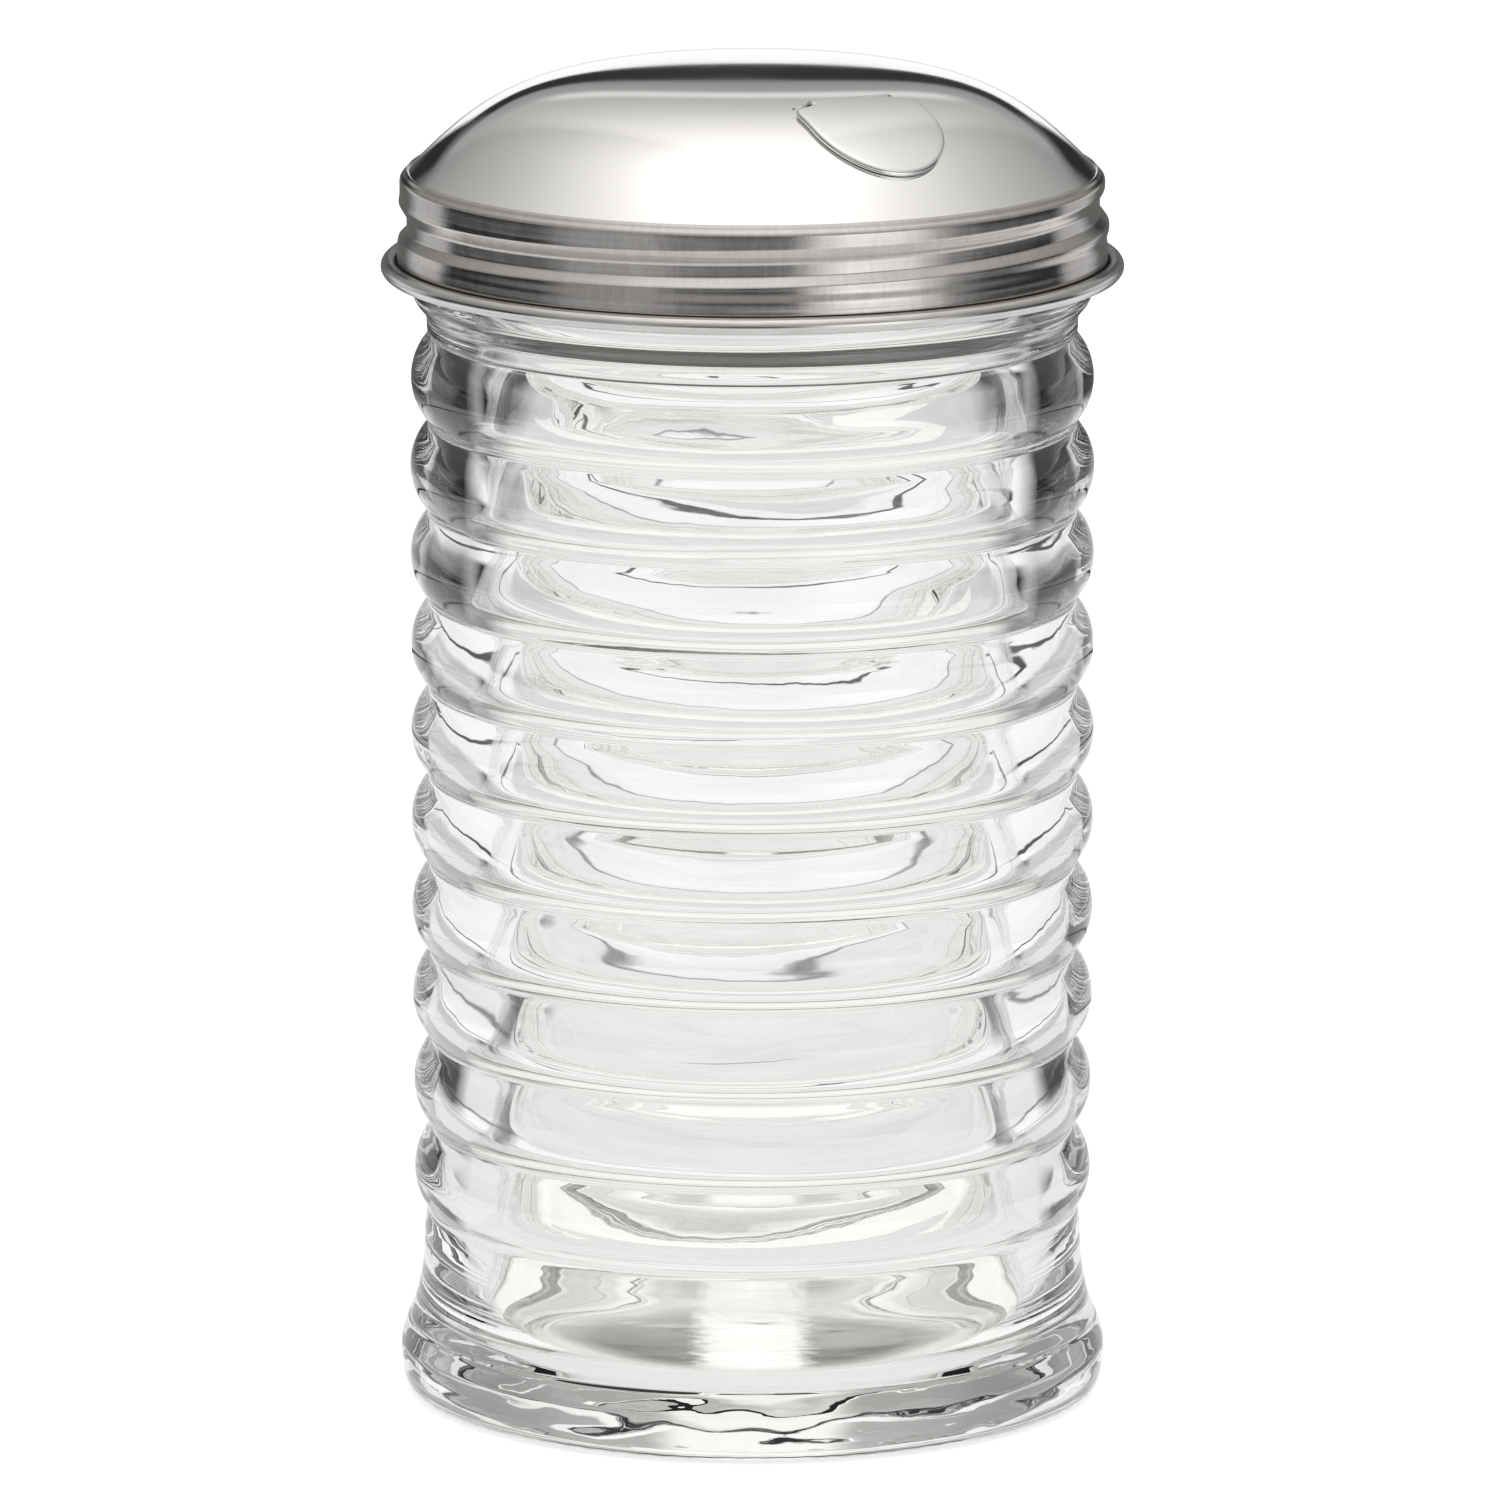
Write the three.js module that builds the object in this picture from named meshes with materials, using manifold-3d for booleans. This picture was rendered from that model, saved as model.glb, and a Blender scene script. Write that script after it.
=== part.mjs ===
// Glass sugar dispenser: a beehive-ribbed glass jar, a stamped metal screw lid
// with a low dome and a rolled hem, and a small gravity flap over a pour hole in the dome.
// Millimetres, +Z up. Origin: centre of the jar's bearing ring, on the table.
// The flap opens towards -Y; its hinge line runs along X.

import * as THREE from 'three';
import { mergeVertices } from 'three/addons/utils/BufferGeometryUtils.js';
import Module from 'manifold-3d';

const wasm = await Module();
wasm.setup();

// ---------------------------------------------------------------- driving dimensions
const SEGMENTS = 40;            // facets round the axis

// glass jar
const BEAR_R_IN = 33.2;         // bearing ring, inner edge
const BEAR_R_OUT = 35.9;        // bearing ring, outer edge
const PUSH_UP = 0.9;            // hollow under the base
const FOOT_R = 38.6;            // widest radius of the foot
const RIB_COUNT = 10;
const RIB_PITCH = 9.759;
const RIB_TOP_Z = 112.27;       // crest height of the uppermost rib
const RIB_R = 37.2;             // crest radius
const RIB_ARC = 6.45;           // arc radius of one rib's section
const NECK_R = 35.35;           // waist between ribs and lid
const LEDGE_R = 36.87;          // transfer ledge just below the lid
const FINISH_R = 35.6;          // root radius of the threaded neck
const THREAD_R = 36.7;          // crest radius of the glass thread
const RIM_Z = 135.2;            // top of the glass rim
const BORE_R = 30.0;            // inside radius of the jar, level with the grooves
const BORE_WAVE = 0.8;          // the inside wall swells by this much behind each rib
const FLOOR_Z = 3.2;            // inside floor
const CORNER_R = 8;             // inside corner round the floor

// lid
const SHEET = 0.55;             // sheet thickness
const DOME_R = 37.09;           // foot radius of the dome
const DOME_Z = 134.96;          // foot height
const DOME_H = 11.226;          // dome height
const DOME_FALL = [0.25, -0.113, 1.788, -0.925]; // fall from the crown, in even powers of r / DOME_R
const BAND_R = 38.23;           // plain band under the shoulder
const RIDGE_R = 38.33;          // skirt beside the thread groove
const SKIRT_R = 38.55;          // skirt below the thread groove
const HEM_R = 39.39;            // rolled hem, centre radius
const HEM_Z = 124.45;           // rolled hem, centre height
const HEM_T = 0.93;             // rolled hem, bead radius

// right-hand thread, shared by the lid's rolled groove and the glass thread
const PITCH = 3.55;
const GROOVE_Z = 129.78;        // groove height at azimuth GROOVE_AZ
const GROOVE_AZ = -30;          // degrees from -Y towards +X
const GROOVE_DEPTH = 0.85;
const GROOVE_UP = 2.6;          // reach of the groove above its middle
const GROOVE_DOWN = 1.45;       // and below it
const GROOVE_FLAT_UP = 0.92;     // flat bottom of the groove above its middle
const GROOVE_FLAT_DOWN = 0.32;   // and below it
const SWELL_Z = 128.9;          // skirt swells a little here, beside the groove's start
const SWELL_OUT = 0.38;

// pour hole, flap and hinge
const HINGE_Y = -20.8;          // hinge line
const PIN_R = 0.45;             // hinge wire radius
const KNUCKLE_R = 1.15;         // curled knuckle, outer radius
const KNUCKLE_BORE = 0.75;      // curled knuckle, inner radius
const KNUCKLE_W = 4.9;          // half width of the knuckle
const FLAP_W = 7.5;             // half width of the flap
const FLAP_END_Y = -25.7;       // centre of the flap's round end
const FLAP_GAP = 0.32;          // flap underside above the dome
const FLAP_T = 0.42;            // flap thickness
const HOLE_W = 5.8;             // half width of the pour hole
const HOLE_END_Y = -25.7;       // centre of the hole's round end

// ---------------------------------------------------------------- helpers
function closedGeometry(source) {
  const g = source.clone();
  g.deleteAttribute('normal');
  g.deleteAttribute('uv');
  const m = mergeVertices(g, 1e-4);
  const p = m.getAttribute('position').array;
  const idx = m.index.array;
  const tris = [];
  for (let i = 0; i < idx.length; i += 3) {
    const a = idx[i], b = idx[i + 1], c = idx[i + 2];
    if (a !== b && b !== c && c !== a) tris.push(a, b, c);
  }
  let volume = 0;
  for (let i = 0; i < tris.length; i += 3) {
    const a = tris[i] * 3, b = tris[i + 1] * 3, c = tris[i + 2] * 3;
    volume += p[a] * (p[b + 1] * p[c + 2] - p[b + 2] * p[c + 1])
            - p[a + 1] * (p[b] * p[c + 2] - p[b + 2] * p[c])
            + p[a + 2] * (p[b] * p[c + 1] - p[b + 1] * p[c]);
  }
  if (volume < 0) {
    for (let i = 0; i < tris.length; i += 3) {
      const t = tris[i + 1]; tris[i + 1] = tris[i + 2]; tris[i + 2] = t;
    }
  }
  const out = new THREE.BufferGeometry();
  out.setAttribute('position', new THREE.BufferAttribute(new Float32Array(p), 3));
  out.setIndex(tris);
  return out;
}

function toManifold(geometry) {
  const g = closedGeometry(geometry);
  return new wasm.Manifold(new wasm.Mesh({
    numProp: 3,
    vertProperties: new Float32Array(g.getAttribute('position').array),
    triVerts: new Uint32Array(g.index.array),
  }));
}

function fromManifold(solid) {
  const mesh = solid.getMesh();
  const g = new THREE.BufferGeometry();
  g.setAttribute('position', new THREE.BufferAttribute(new Float32Array(mesh.vertProperties), 3));
  g.setIndex(Array.from(mesh.triVerts));
  return g;
}

// A body of revolution about Z from [radius, height] pairs; azimuth 0 is -Y, 90 degrees is +X.
function revolve(pairs, push) {
  const g = new THREE.LatheGeometry(pairs.map(([r, z]) => new THREE.Vector2(r, z)), SEGMENTS);
  g.rotateX(Math.PI / 2);
  if (push) {
    const p = g.getAttribute('position');
    for (let i = 0; i < p.count; i++) {
      const x = p.getX(i), y = p.getY(i), z = p.getZ(i);
      const r = Math.hypot(x, y);
      if (r < 1) continue;
      const k = (r + push(r, z, THREE.MathUtils.radToDeg(Math.atan2(x, -y)))) / r;
      p.setXYZ(i, x * k, y * k, z);
    }
  }
  return g;
}

// Straight rise from 0 to 1 whose first and last `k` are rounded.
function softStep(t, k) {
  const top = 1 / (1 - k);
  if (t < k) return top * t * t / (2 * k);
  if (t > 1 - k) return 1 - top * (1 - t) * (1 - t) / (2 * k);
  return top * (t - k / 2);
}

// Height of the section of a helix that starts at turn angle `from` and ends at `to`, as a
// bump from 0 to 1 at (z, azimuth). Its top is flat over flatUp and flatDown.
function helixBump(z, azimuth, lift, up, down, from, to, fade, flatUp = 0, flatDown = 0) {
  let best = 0;
  for (let turn = -2; turn <= 2; turn++) {
    const angle = azimuth - GROOVE_AZ + 360 * turn;
    if (angle < from || angle > to) continue;
    const centre = GROOVE_Z + lift + PITCH * angle / 360;
    const d = Math.max(0, z > centre
      ? (z - centre - flatUp) / (up - flatUp) : (centre - z - flatDown) / (down - flatDown));
    if (d >= 1) continue;
    const e = Math.min(1, (angle - from) / fade, (to - angle) / fade);
    const ends = e * e * (3 - 2 * e);
    best = Math.max(best, ends * (1 - softStep(d, 0.15)));
  }
  return best;
}

const domeZ = (r) => DOME_Z + DOME_H * DOME_FALL.reduce((sum, k, i) => (
  sum - k * Math.pow(Math.min(r / DOME_R, 1), 2 * i + 2)), 1);
const domeSlope = (r) => DOME_H / DOME_R * DOME_FALL.reduce((sum, k, i) => (
  sum + (2 * i + 2) * k * Math.pow(r / DOME_R, 2 * i + 1)), 0);
// A point a distance `gap` off the dome's outer face, measured square to it.
function domeOffset(r, gap) {
  const s = domeSlope(r), n = Math.hypot(1, s);
  return [r + gap * s / n, domeZ(r) + gap / n];
}
const DOME_STEPS = [8, 14, 19, 23.5, 27.5, 31, 33.8, 35.8];

// ---------------------------------------------------------------- glass jar
function jarGeometry() {
  const outline = [
    [0, PUSH_UP], [10, 0.86], [20, 0.72], [26, 0.55], [30, 0.37], [32, 0.2], [BEAR_R_IN, 0], [BEAR_R_OUT, 0],
    [37.2, 0.4], [38.1, 1.3], [38.5, 2.6], [FOOT_R, 4.2], [38.3, 6.2],
    [37.88, 7.36], [37.62, 7.85], [37.16, 9.15], [36.6, 11.2], [36.05, 14.4], [35.9, 17.2],
  ];
  const ribX = (d) => RIB_R - RIB_ARC + Math.sqrt(RIB_ARC * RIB_ARC - d * d);
  for (let i = RIB_COUNT - 1; i >= 0; i--) {
    const z = RIB_TOP_Z - i * RIB_PITCH;
    for (const f of [-0.5, -0.25, 0, 0.25]) outline.push([ribX(f * RIB_PITCH), z + f * RIB_PITCH]);
  }
  outline.push(
    [ribX(0.5 * RIB_PITCH), RIB_TOP_Z + 0.5 * RIB_PITCH],
    [NECK_R, 117.9], [NECK_R, 119.0], [36.1, 120.2], [LEDGE_R, 121.4], [LEDGE_R, 122.6],
    [FINISH_R, 123.6],
  );
  for (let i = 0; i <= 9; i++) outline.push([FINISH_R, 127.0 + i * 0.72]);
  outline.push(
    [FINISH_R, 134.2], [35.0, RIM_Z - 0.15], [34.2, RIM_Z], [32.5, RIM_Z - 0.05],
    [BORE_R + 1.6, RIM_Z - 0.25], [BORE_R + 0.5, RIM_Z - 0.7], [BORE_R, RIM_Z - 1.6], [BORE_R, 118],
  );
  for (let i = 0; i < RIB_COUNT; i++) {
    const z = RIB_TOP_Z - i * RIB_PITCH;
    outline.push([BORE_R + BORE_WAVE, z], [BORE_R, z - RIB_PITCH / 2]);
  }
  outline.push([BORE_R, 16.8], [BORE_R, FLOOR_Z + CORNER_R]);
  for (let a = 15; a <= 90; a += 15) {
    const t = THREE.MathUtils.degToRad(a);
    outline.push([BORE_R - CORNER_R * (1 - Math.cos(t)), FLOOR_Z + CORNER_R * (1 - Math.sin(t))]);
  }
  outline.push([12, FLOOR_Z], [0, FLOOR_Z]);
  return revolve(outline, (r, z, az) => (
    r > FINISH_R - 0.01 && z > 126 && z < 133.8
      ? (THREAD_R - FINISH_R) * helixBump(z, az, PITCH / 2, 1.15, 1.15, -330, 30, 25)
      : 0));
}

// ---------------------------------------------------------------- lid
function lidGeometry() {
  const rows = [];
  for (let i = 0; i <= 13; i++) rows.push(132.4 - i * 0.5);
  const ease = (t) => { const u = Math.min(1, Math.max(0, t)); return u * u * (3 - 2 * u); };
  const wall = (z) => BAND_R + (RIDGE_R - BAND_R) * ease((132.3 - z) / 0.7)
    + (SKIRT_R - RIDGE_R) * ease((128.0 - z) / 1.5);
  const hem = [120, 75, 30, -15, -60, -105, -140].map((a) => {
    const t = THREE.MathUtils.degToRad(a);
    return [HEM_R + HEM_T * Math.cos(t), HEM_Z + HEM_T * Math.sin(t)];
  });
  const outline = [
    [0, domeZ(0)],
    ...DOME_STEPS.map((r) => [r, domeZ(r)]),
    [DOME_R, DOME_Z],
    [37.45, 134.93], [37.85, 134.42], [38.14, 134.12], [BAND_R, 133.6],
    ...rows.map((z) => [wall(z), z]),
    [38.6, 125.35],
    ...hem,
    [SKIRT_R - SHEET, 124.2],
    ...rows.slice().reverse().map((z) => [wall(z) - SHEET, z]),
    [BAND_R - SHEET, 133.3], [37.66, 133.85], [37.3, 134.3],
    domeOffset(DOME_R - 0.2, -SHEET),
    ...DOME_STEPS.slice().reverse().map((r) => domeOffset(r, -SHEET)),
    [0, domeZ(0) - SHEET],
  ];
  const swell = (z, az) => {
    const a = ((az + 180) % 360 + 360) % 360 - 180;
    return SWELL_OUT * ease((a - 12) / 38) * Math.min(1, Math.max(0, (150 - a) / 40))
      * Math.exp(-(((z - SWELL_Z) / 1.1) ** 2));
  };
  const groove = (z, az) => GROOVE_DEPTH * helixBump(
    z, az, 0, GROOVE_UP, GROOVE_DOWN, -262, 118, 40, GROOVE_FLAT_UP, GROOVE_FLAT_DOWN);
  const shell = toManifold(revolve(outline, (r, z, az) => (
    r > 37.6 && z > 125.8 && z < 132.5 ? swell(z, az) - groove(z, az) : 0)));

  // pour hole: a strip for the knuckle, a wider strip for the wire, then the round-ended hole
  const s = new THREE.Shape();
  s.moveTo(-5.2, HINGE_Y + 1.45);
  s.lineTo(-5.2, HINGE_Y + 0.75);
  s.lineTo(-6.8, HINGE_Y + 0.75);
  s.lineTo(-6.8, HINGE_Y - 0.85);
  s.lineTo(-HOLE_W, HINGE_Y - 0.85);
  s.lineTo(-HOLE_W, HOLE_END_Y);
  s.absarc(0, HOLE_END_Y, HOLE_W, Math.PI, 2 * Math.PI, false);
  s.lineTo(HOLE_W, HINGE_Y - 0.85);
  s.lineTo(6.8, HINGE_Y - 0.85);
  s.lineTo(6.8, HINGE_Y + 0.75);
  s.lineTo(5.2, HINGE_Y + 0.75);
  s.lineTo(5.2, HINGE_Y + 1.45);
  s.closePath();
  const cutter = new THREE.ExtrudeGeometry(s, { depth: 12, bevelEnabled: false, curveSegments: 14 });
  cutter.translate(0, 0, 137.5);
  return fromManifold(shell.subtract(toManifold(cutter)));
}

// ---------------------------------------------------------------- flap
const HINGE_Z = domeOffset(-HINGE_Y, FLAP_GAP + FLAP_T)[1] - KNUCKLE_R;

function barGeometry(radius, halfWidth, facets) {
  const g = new THREE.CylinderGeometry(radius, radius, 2 * halfWidth, facets);
  g.rotateZ(Math.PI / 2);
  g.translate(0, HINGE_Y, HINGE_Z);
  return g;
}

function flapGeometry() {
  const steps = DOME_STEPS;
  const shell = toManifold(revolve([
    [0, domeZ(0) + FLAP_GAP + FLAP_T],
    ...steps.map((r) => domeOffset(r, FLAP_GAP + FLAP_T)),
    ...steps.slice().reverse().map((r) => domeOffset(r, FLAP_GAP)),
    [0, domeZ(0) + FLAP_GAP],
  ]));
  const s = new THREE.Shape();
  s.moveTo(-KNUCKLE_W, HINGE_Y);
  s.lineTo(-KNUCKLE_W, HINGE_Y - 0.9);
  s.lineTo(-6.8, HINGE_Y - 0.8);
  s.lineTo(-7.25, HINGE_Y - 0.95);
  s.lineTo(-FLAP_W, HINGE_Y - 1.4);
  s.lineTo(-FLAP_W, FLAP_END_Y);
  s.absarc(0, FLAP_END_Y, FLAP_W, Math.PI, 2 * Math.PI, false);
  s.lineTo(FLAP_W, HINGE_Y - 1.4);
  s.lineTo(7.25, HINGE_Y - 0.95);
  s.lineTo(6.8, HINGE_Y - 0.8);
  s.lineTo(KNUCKLE_W, HINGE_Y - 0.9);
  s.lineTo(KNUCKLE_W, HINGE_Y);
  s.closePath();
  const blank = new THREE.ExtrudeGeometry(s, { depth: 14, bevelEnabled: false, curveSegments: 20 });
  blank.translate(0, 0, 136);
  const plate = shell.intersect(toManifold(blank));
  return fromManifold(plate
    .add(toManifold(barGeometry(KNUCKLE_R, KNUCKLE_W, 20)))
    .subtract(toManifold(barGeometry(KNUCKLE_BORE, 12, 16))));
}

// ---------------------------------------------------------------- hinge wire
// Straight through the knuckle; both ends dip under the sheet beside the hole, where they are
// welded to the dome's inner face.
function wireGeometry() {
  const low = (x) => domeOffset(Math.hypot(x, HINGE_Y), -SHEET - 0.3 - PIN_R)[1];
  const half = [[0, HINGE_Z], [2.4, HINGE_Z], [4.6, HINGE_Z], [5.3, HINGE_Z - 0.02],
    [6.0, (HINGE_Z + low(6.8)) / 2], [6.8, low(6.8)], [7.8, low(7.8)], [9.6, low(9.6)]];
  const pts = [...half.slice(1).reverse().map(([x, z]) => new THREE.Vector3(-x, HINGE_Y, z)),
    ...half.map(([x, z]) => new THREE.Vector3(x, HINGE_Y, z))];
  const path = new THREE.CatmullRomCurve3(pts, false, 'centripetal');
  const section = new THREE.Shape();
  for (let i = 0; i < 8; i++) {
    const a = Math.PI * 2 * i / 8;
    if (i === 0) section.moveTo(PIN_R, 0);
    else section.lineTo(PIN_R * Math.cos(a), PIN_R * Math.sin(a));
  }
  section.closePath();
  return new THREE.ExtrudeGeometry(section, { steps: 36, bevelEnabled: false, extrudePath: path });
}

// ---------------------------------------------------------------- assembly
const glass = new THREE.MeshStandardMaterial({
  color: 0xdfe5e3, roughness: 0.04, metalness: 0, transparent: true, opacity: 0.35,
});
const polished = new THREE.MeshStandardMaterial({ color: 0xcfcecb, roughness: 0.12, metalness: 1 });
const flapMetal = new THREE.MeshStandardMaterial({ color: 0xd6d5d2, roughness: 0.14, metalness: 1 });
const wireMetal = new THREE.MeshStandardMaterial({ color: 0xb4b3b0, roughness: 0.3, metalness: 1 });

function piece(name, geometry, material) {
  const mesh = new THREE.Mesh(closedGeometry(geometry), material);
  mesh.name = name;
  return mesh;
}

const group = new THREE.Group();
const jar = piece('glass_jar', jarGeometry(), glass);
const lidGroup = new THREE.Group();
lidGroup.add(piece('lid_cap', lidGeometry(), polished));
lidGroup.add(piece('hinge_wire', wireGeometry(), wireMetal));
lidGroup.add(piece('flap', flapGeometry(), flapMetal));
group.add(jar, lidGroup);

export default group;
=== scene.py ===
import math

import bmesh
import bpy
import numpy as np
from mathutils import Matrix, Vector


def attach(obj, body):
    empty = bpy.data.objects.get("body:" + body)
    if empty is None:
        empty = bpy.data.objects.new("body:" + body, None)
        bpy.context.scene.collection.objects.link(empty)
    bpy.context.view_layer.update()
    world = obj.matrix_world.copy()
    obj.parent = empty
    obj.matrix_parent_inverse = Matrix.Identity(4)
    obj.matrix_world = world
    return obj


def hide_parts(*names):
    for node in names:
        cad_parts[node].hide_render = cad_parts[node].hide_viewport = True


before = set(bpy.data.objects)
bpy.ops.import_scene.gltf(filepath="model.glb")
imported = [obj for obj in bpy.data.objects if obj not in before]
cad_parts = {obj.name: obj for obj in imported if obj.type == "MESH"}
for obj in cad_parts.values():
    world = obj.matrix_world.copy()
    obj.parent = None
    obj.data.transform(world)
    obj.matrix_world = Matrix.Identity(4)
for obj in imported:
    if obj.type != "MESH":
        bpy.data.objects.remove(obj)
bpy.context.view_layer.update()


MM = 0.001

# ------------------------------------------------------------------ shared dimensions, millimetres
SHEET = 0.55
DOME_R, DOME_Z, DOME_H = 37.09, 134.96, 11.226
DOME_FALL = (0.25, -0.113, 1.788, -0.925)
BAND_R, SKIRT_R = 38.23, 38.47
HEM_R, HEM_Z, HEM_T = 39.39, 124.45, 0.93
PITCH, GROOVE_Z, GROOVE_AZ = 3.55, 129.78, -30.0
GROOVE_DEPTH, GROOVE_UP, GROOVE_DOWN = 0.85, 2.60, 1.45
GROOVE_FLAT_UP, GROOVE_FLAT_DOWN = 0.92, 0.32
HINGE_Y, KNUCKLE_R, PIN_R = -20.8, 1.15, 0.45
FLAP_GAP, FLAP_T = 0.32, 0.42
BORE_R, BORE_WAVE = 30.0, 0.8
NECK_IN, NECK_FROM, NECK_TO = 0.0, 70.0, 118.0
FLOOR_Z, CORNER_R = 3.2, 8.0
FINISH_R, THREAD_R = 35.6, 36.7
RIB_TOP_Z, RIB_PITCH, RIB_ARC = 112.27, 9.759, 6.45
RIB_FILLET = 0.36
RIB_CREST = [37.08, 37.20, 37.21, 37.21, 37.23, 37.22, 37.22, 37.17, 37.08, 37.03]


def dome_z(r):
    t = np.minimum(np.asarray(r, float) / DOME_R, 1.0)
    return DOME_Z + DOME_H * (1 - sum(k * t ** (2 * i + 2) for i, k in enumerate(DOME_FALL)))


def dome_slope(r):
    t = np.asarray(r, float) / DOME_R
    return DOME_H / DOME_R * sum((2 * i + 2) * k * t ** (2 * i + 1) for i, k in enumerate(DOME_FALL))


def dome_offset(r, gap):
    s = dome_slope(r)
    n = np.sqrt(1 + s * s)
    return r + gap * s / n, dome_z(r) + gap / n


HINGE_Z = float(dome_offset(-HINGE_Y, FLAP_GAP + FLAP_T)[1]) - KNUCKLE_R


# ------------------------------------------------------------------ mesh helpers
def catmull(points, step):
    """A smooth line through (r, z) points, about `step` mm between samples."""
    p = np.array(points, float)
    ext = np.vstack([2 * p[0] - p[1], p, 2 * p[-1] - p[-2]])
    out = [p[0]]
    for i in range(len(p) - 1):
        p0, p1, p2, p3 = ext[i:i + 4]
        t0, t1 = 0.0, max(np.linalg.norm(p1 - p0), 1e-6) ** 0.5
        t2 = t1 + max(np.linalg.norm(p2 - p1), 1e-6) ** 0.5
        t3 = t2 + max(np.linalg.norm(p3 - p2), 1e-6) ** 0.5
        n = max(1, int(math.ceil(np.linalg.norm(p2 - p1) / step)))
        for t in np.linspace(t1, t2, n + 1)[1:]:
            a1 = (t1 - t) / (t1 - t0) * p0 + (t - t0) / (t1 - t0) * p1
            a2 = (t2 - t) / (t2 - t1) * p1 + (t - t1) / (t2 - t1) * p2
            a3 = (t3 - t) / (t3 - t2) * p2 + (t - t2) / (t3 - t2) * p3
            b1 = (t2 - t) / (t2 - t0) * a1 + (t - t0) / (t2 - t0) * a2
            b2 = (t3 - t) / (t3 - t1) * a2 + (t - t1) / (t3 - t1) * a3
            out.append((t2 - t) / (t2 - t1) * b1 + (t - t1) / (t2 - t1) * b2)
    return [tuple(q) for q in out]


def ease(t):
    t = min(1.0, max(0.0, t))
    return t * t * (3 - 2 * t)


def arc(r0, z0, radius, start, stop, steps):
    """Points of a circular arc; angles in degrees from the outward direction."""
    a = np.radians(np.linspace(start, stop, steps + 1))
    return [(r0 + radius * math.cos(t), z0 + radius * math.sin(t)) for t in a]


def lathe(name, outline, segments, push=None, marks=None):
    """A closed body of revolution. outline: (r, z) from axis to axis, upwards on the outside.
    push(r, z, az) moves points outwards. marks: one material index for each outline span."""
    pts = np.array(outline, float)
    az = np.arange(segments) * 2 * math.pi / segments
    n = len(pts)
    inner = pts[1:-1]
    rr = np.repeat(inner[:, 0], segments)
    zz = np.repeat(inner[:, 1], segments)
    aa = np.tile(az, n - 2)
    if push is not None:
        moved = push(rr, zz, np.degrees(aa), np.repeat(np.arange(1, n - 1), segments))
        if isinstance(moved, tuple):
            rr, zz = rr + moved[0], zz + moved[1]
        else:
            rr = rr + moved
    co = np.stack([rr * np.sin(aa), -rr * np.cos(aa), zz], 1)
    co = np.vstack([[0, 0, pts[0, 1]], co, [0, 0, pts[-1, 1]]]) * MM
    faces, mats = [], []
    last = len(co) - 1

    def vid(ring, j):
        return 1 + (ring - 1) * segments + j % segments

    for j in range(segments):
        faces.append((0, vid(1, j + 1), vid(1, j)))
        mats.append(marks[0] if marks else 0)
    for k in range(1, n - 2):
        for j in range(segments):
            faces.append((vid(k, j), vid(k, j + 1), vid(k + 1, j + 1), vid(k + 1, j)))
            mats.append(marks[k] if marks else 0)
    for j in range(segments):
        faces.append((vid(n - 2, j), vid(n - 2, j + 1), last))
        mats.append(marks[-1] if marks else 0)
    mesh = bpy.data.meshes.new(name)
    mesh.from_pydata([tuple(c) for c in co], [], faces)
    mesh.polygons.foreach_set("material_index", np.array(mats, np.int32))
    mesh.polygons.foreach_set("use_smooth", np.ones(len(faces), bool))
    mesh.update()
    obj = bpy.data.objects.new(name, mesh)
    bpy.context.scene.collection.objects.link(obj)
    outward(mesh)
    return obj


def outward(mesh):
    bm = bmesh.new()
    bm.from_mesh(mesh)
    bmesh.ops.recalc_face_normals(bm, faces=bm.faces)
    if bm.calc_volume(signed=True) < 0:
        bmesh.ops.reverse_faces(bm, faces=bm.faces)
    bm.to_mesh(mesh)
    bm.free()
    mesh.update()


def soft_step(t, k):
    """A straight rise from 0 to 1 whose first and last `k` are rounded."""
    top = 1 / (1 - k)
    low = top * t * t / (2 * k)
    high = 1 - top * (1 - t) * (1 - t) / (2 * k)
    return np.where(t < k, low, np.where(t > 1 - k, high, top * (t - k / 2)))


def helix_bump(z, az, lift, up, down, start, stop, fade, flat_up=0.0, flat_down=0.0):
    """0 to 1 across a helical ridge or groove that reaches `up` above its middle and `down` below it, flat at its bottom."""
    best = np.zeros_like(z)
    for turn in range(-2, 3):
        angle = az - GROOVE_AZ + 360 * turn
        ends = np.clip(np.minimum((angle - start) / fade, (stop - angle) / fade), 0, 1)
        ends = ends * ends * (3 - 2 * ends)
        d = z - (GROOVE_Z + lift + PITCH * angle / 360)
        d = np.where(d > 0, (d - flat_up) / (up - flat_up), (-d - flat_down) / (down - flat_down))
        d = np.maximum(d, 0)
        d = np.minimum(d, 1)
        # mostly a straight slope, rounded at both ends
        bump = (1 - soft_step(d, 0.15)) * ends
        best = np.maximum(best, bump)
    return best


def waves(z, az, seed, terms):
    """A seeded sum of smooth waves over a cylinder. terms: (amount, vertical wavelength, most turns)."""
    rng = np.random.RandomState(seed)
    out = np.zeros_like(z)
    for amount, length, turns, count in terms:
        for _ in range(count):
            k = rng.randint(0, turns + 1)
            w = 2 * math.pi / (length * rng.uniform(0.7, 1.5)) * rng.choice([-1, 1])
            ph = rng.uniform(0, 2 * math.pi)
            out = out + amount / math.sqrt(count) * np.cos(w * z + k * np.radians(az) + ph)
    return out


def ripples(x, y, seed, terms):
    """A seeded sum of smooth waves over a plane. terms: (amount, wavelength, count)."""
    rng = np.random.RandomState(seed)
    out = np.zeros_like(x)
    for amount, length, count in terms:
        for _ in range(count):
            w = 2 * math.pi / (length * rng.uniform(0.75, 1.35))
            a, ph = rng.uniform(0, 2 * math.pi, 2)
            out = out + amount / math.sqrt(count) * np.cos(w * (x * math.cos(a) + y * math.sin(a)) + ph)
    return out


# ------------------------------------------------------------------ material helpers
def new_material(name):
    mat = bpy.data.materials.get(name) or bpy.data.materials.new(name)
    mat.use_nodes = True
    nt = mat.node_tree
    return mat, nt, nt.nodes["Principled BSDF"]


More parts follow.
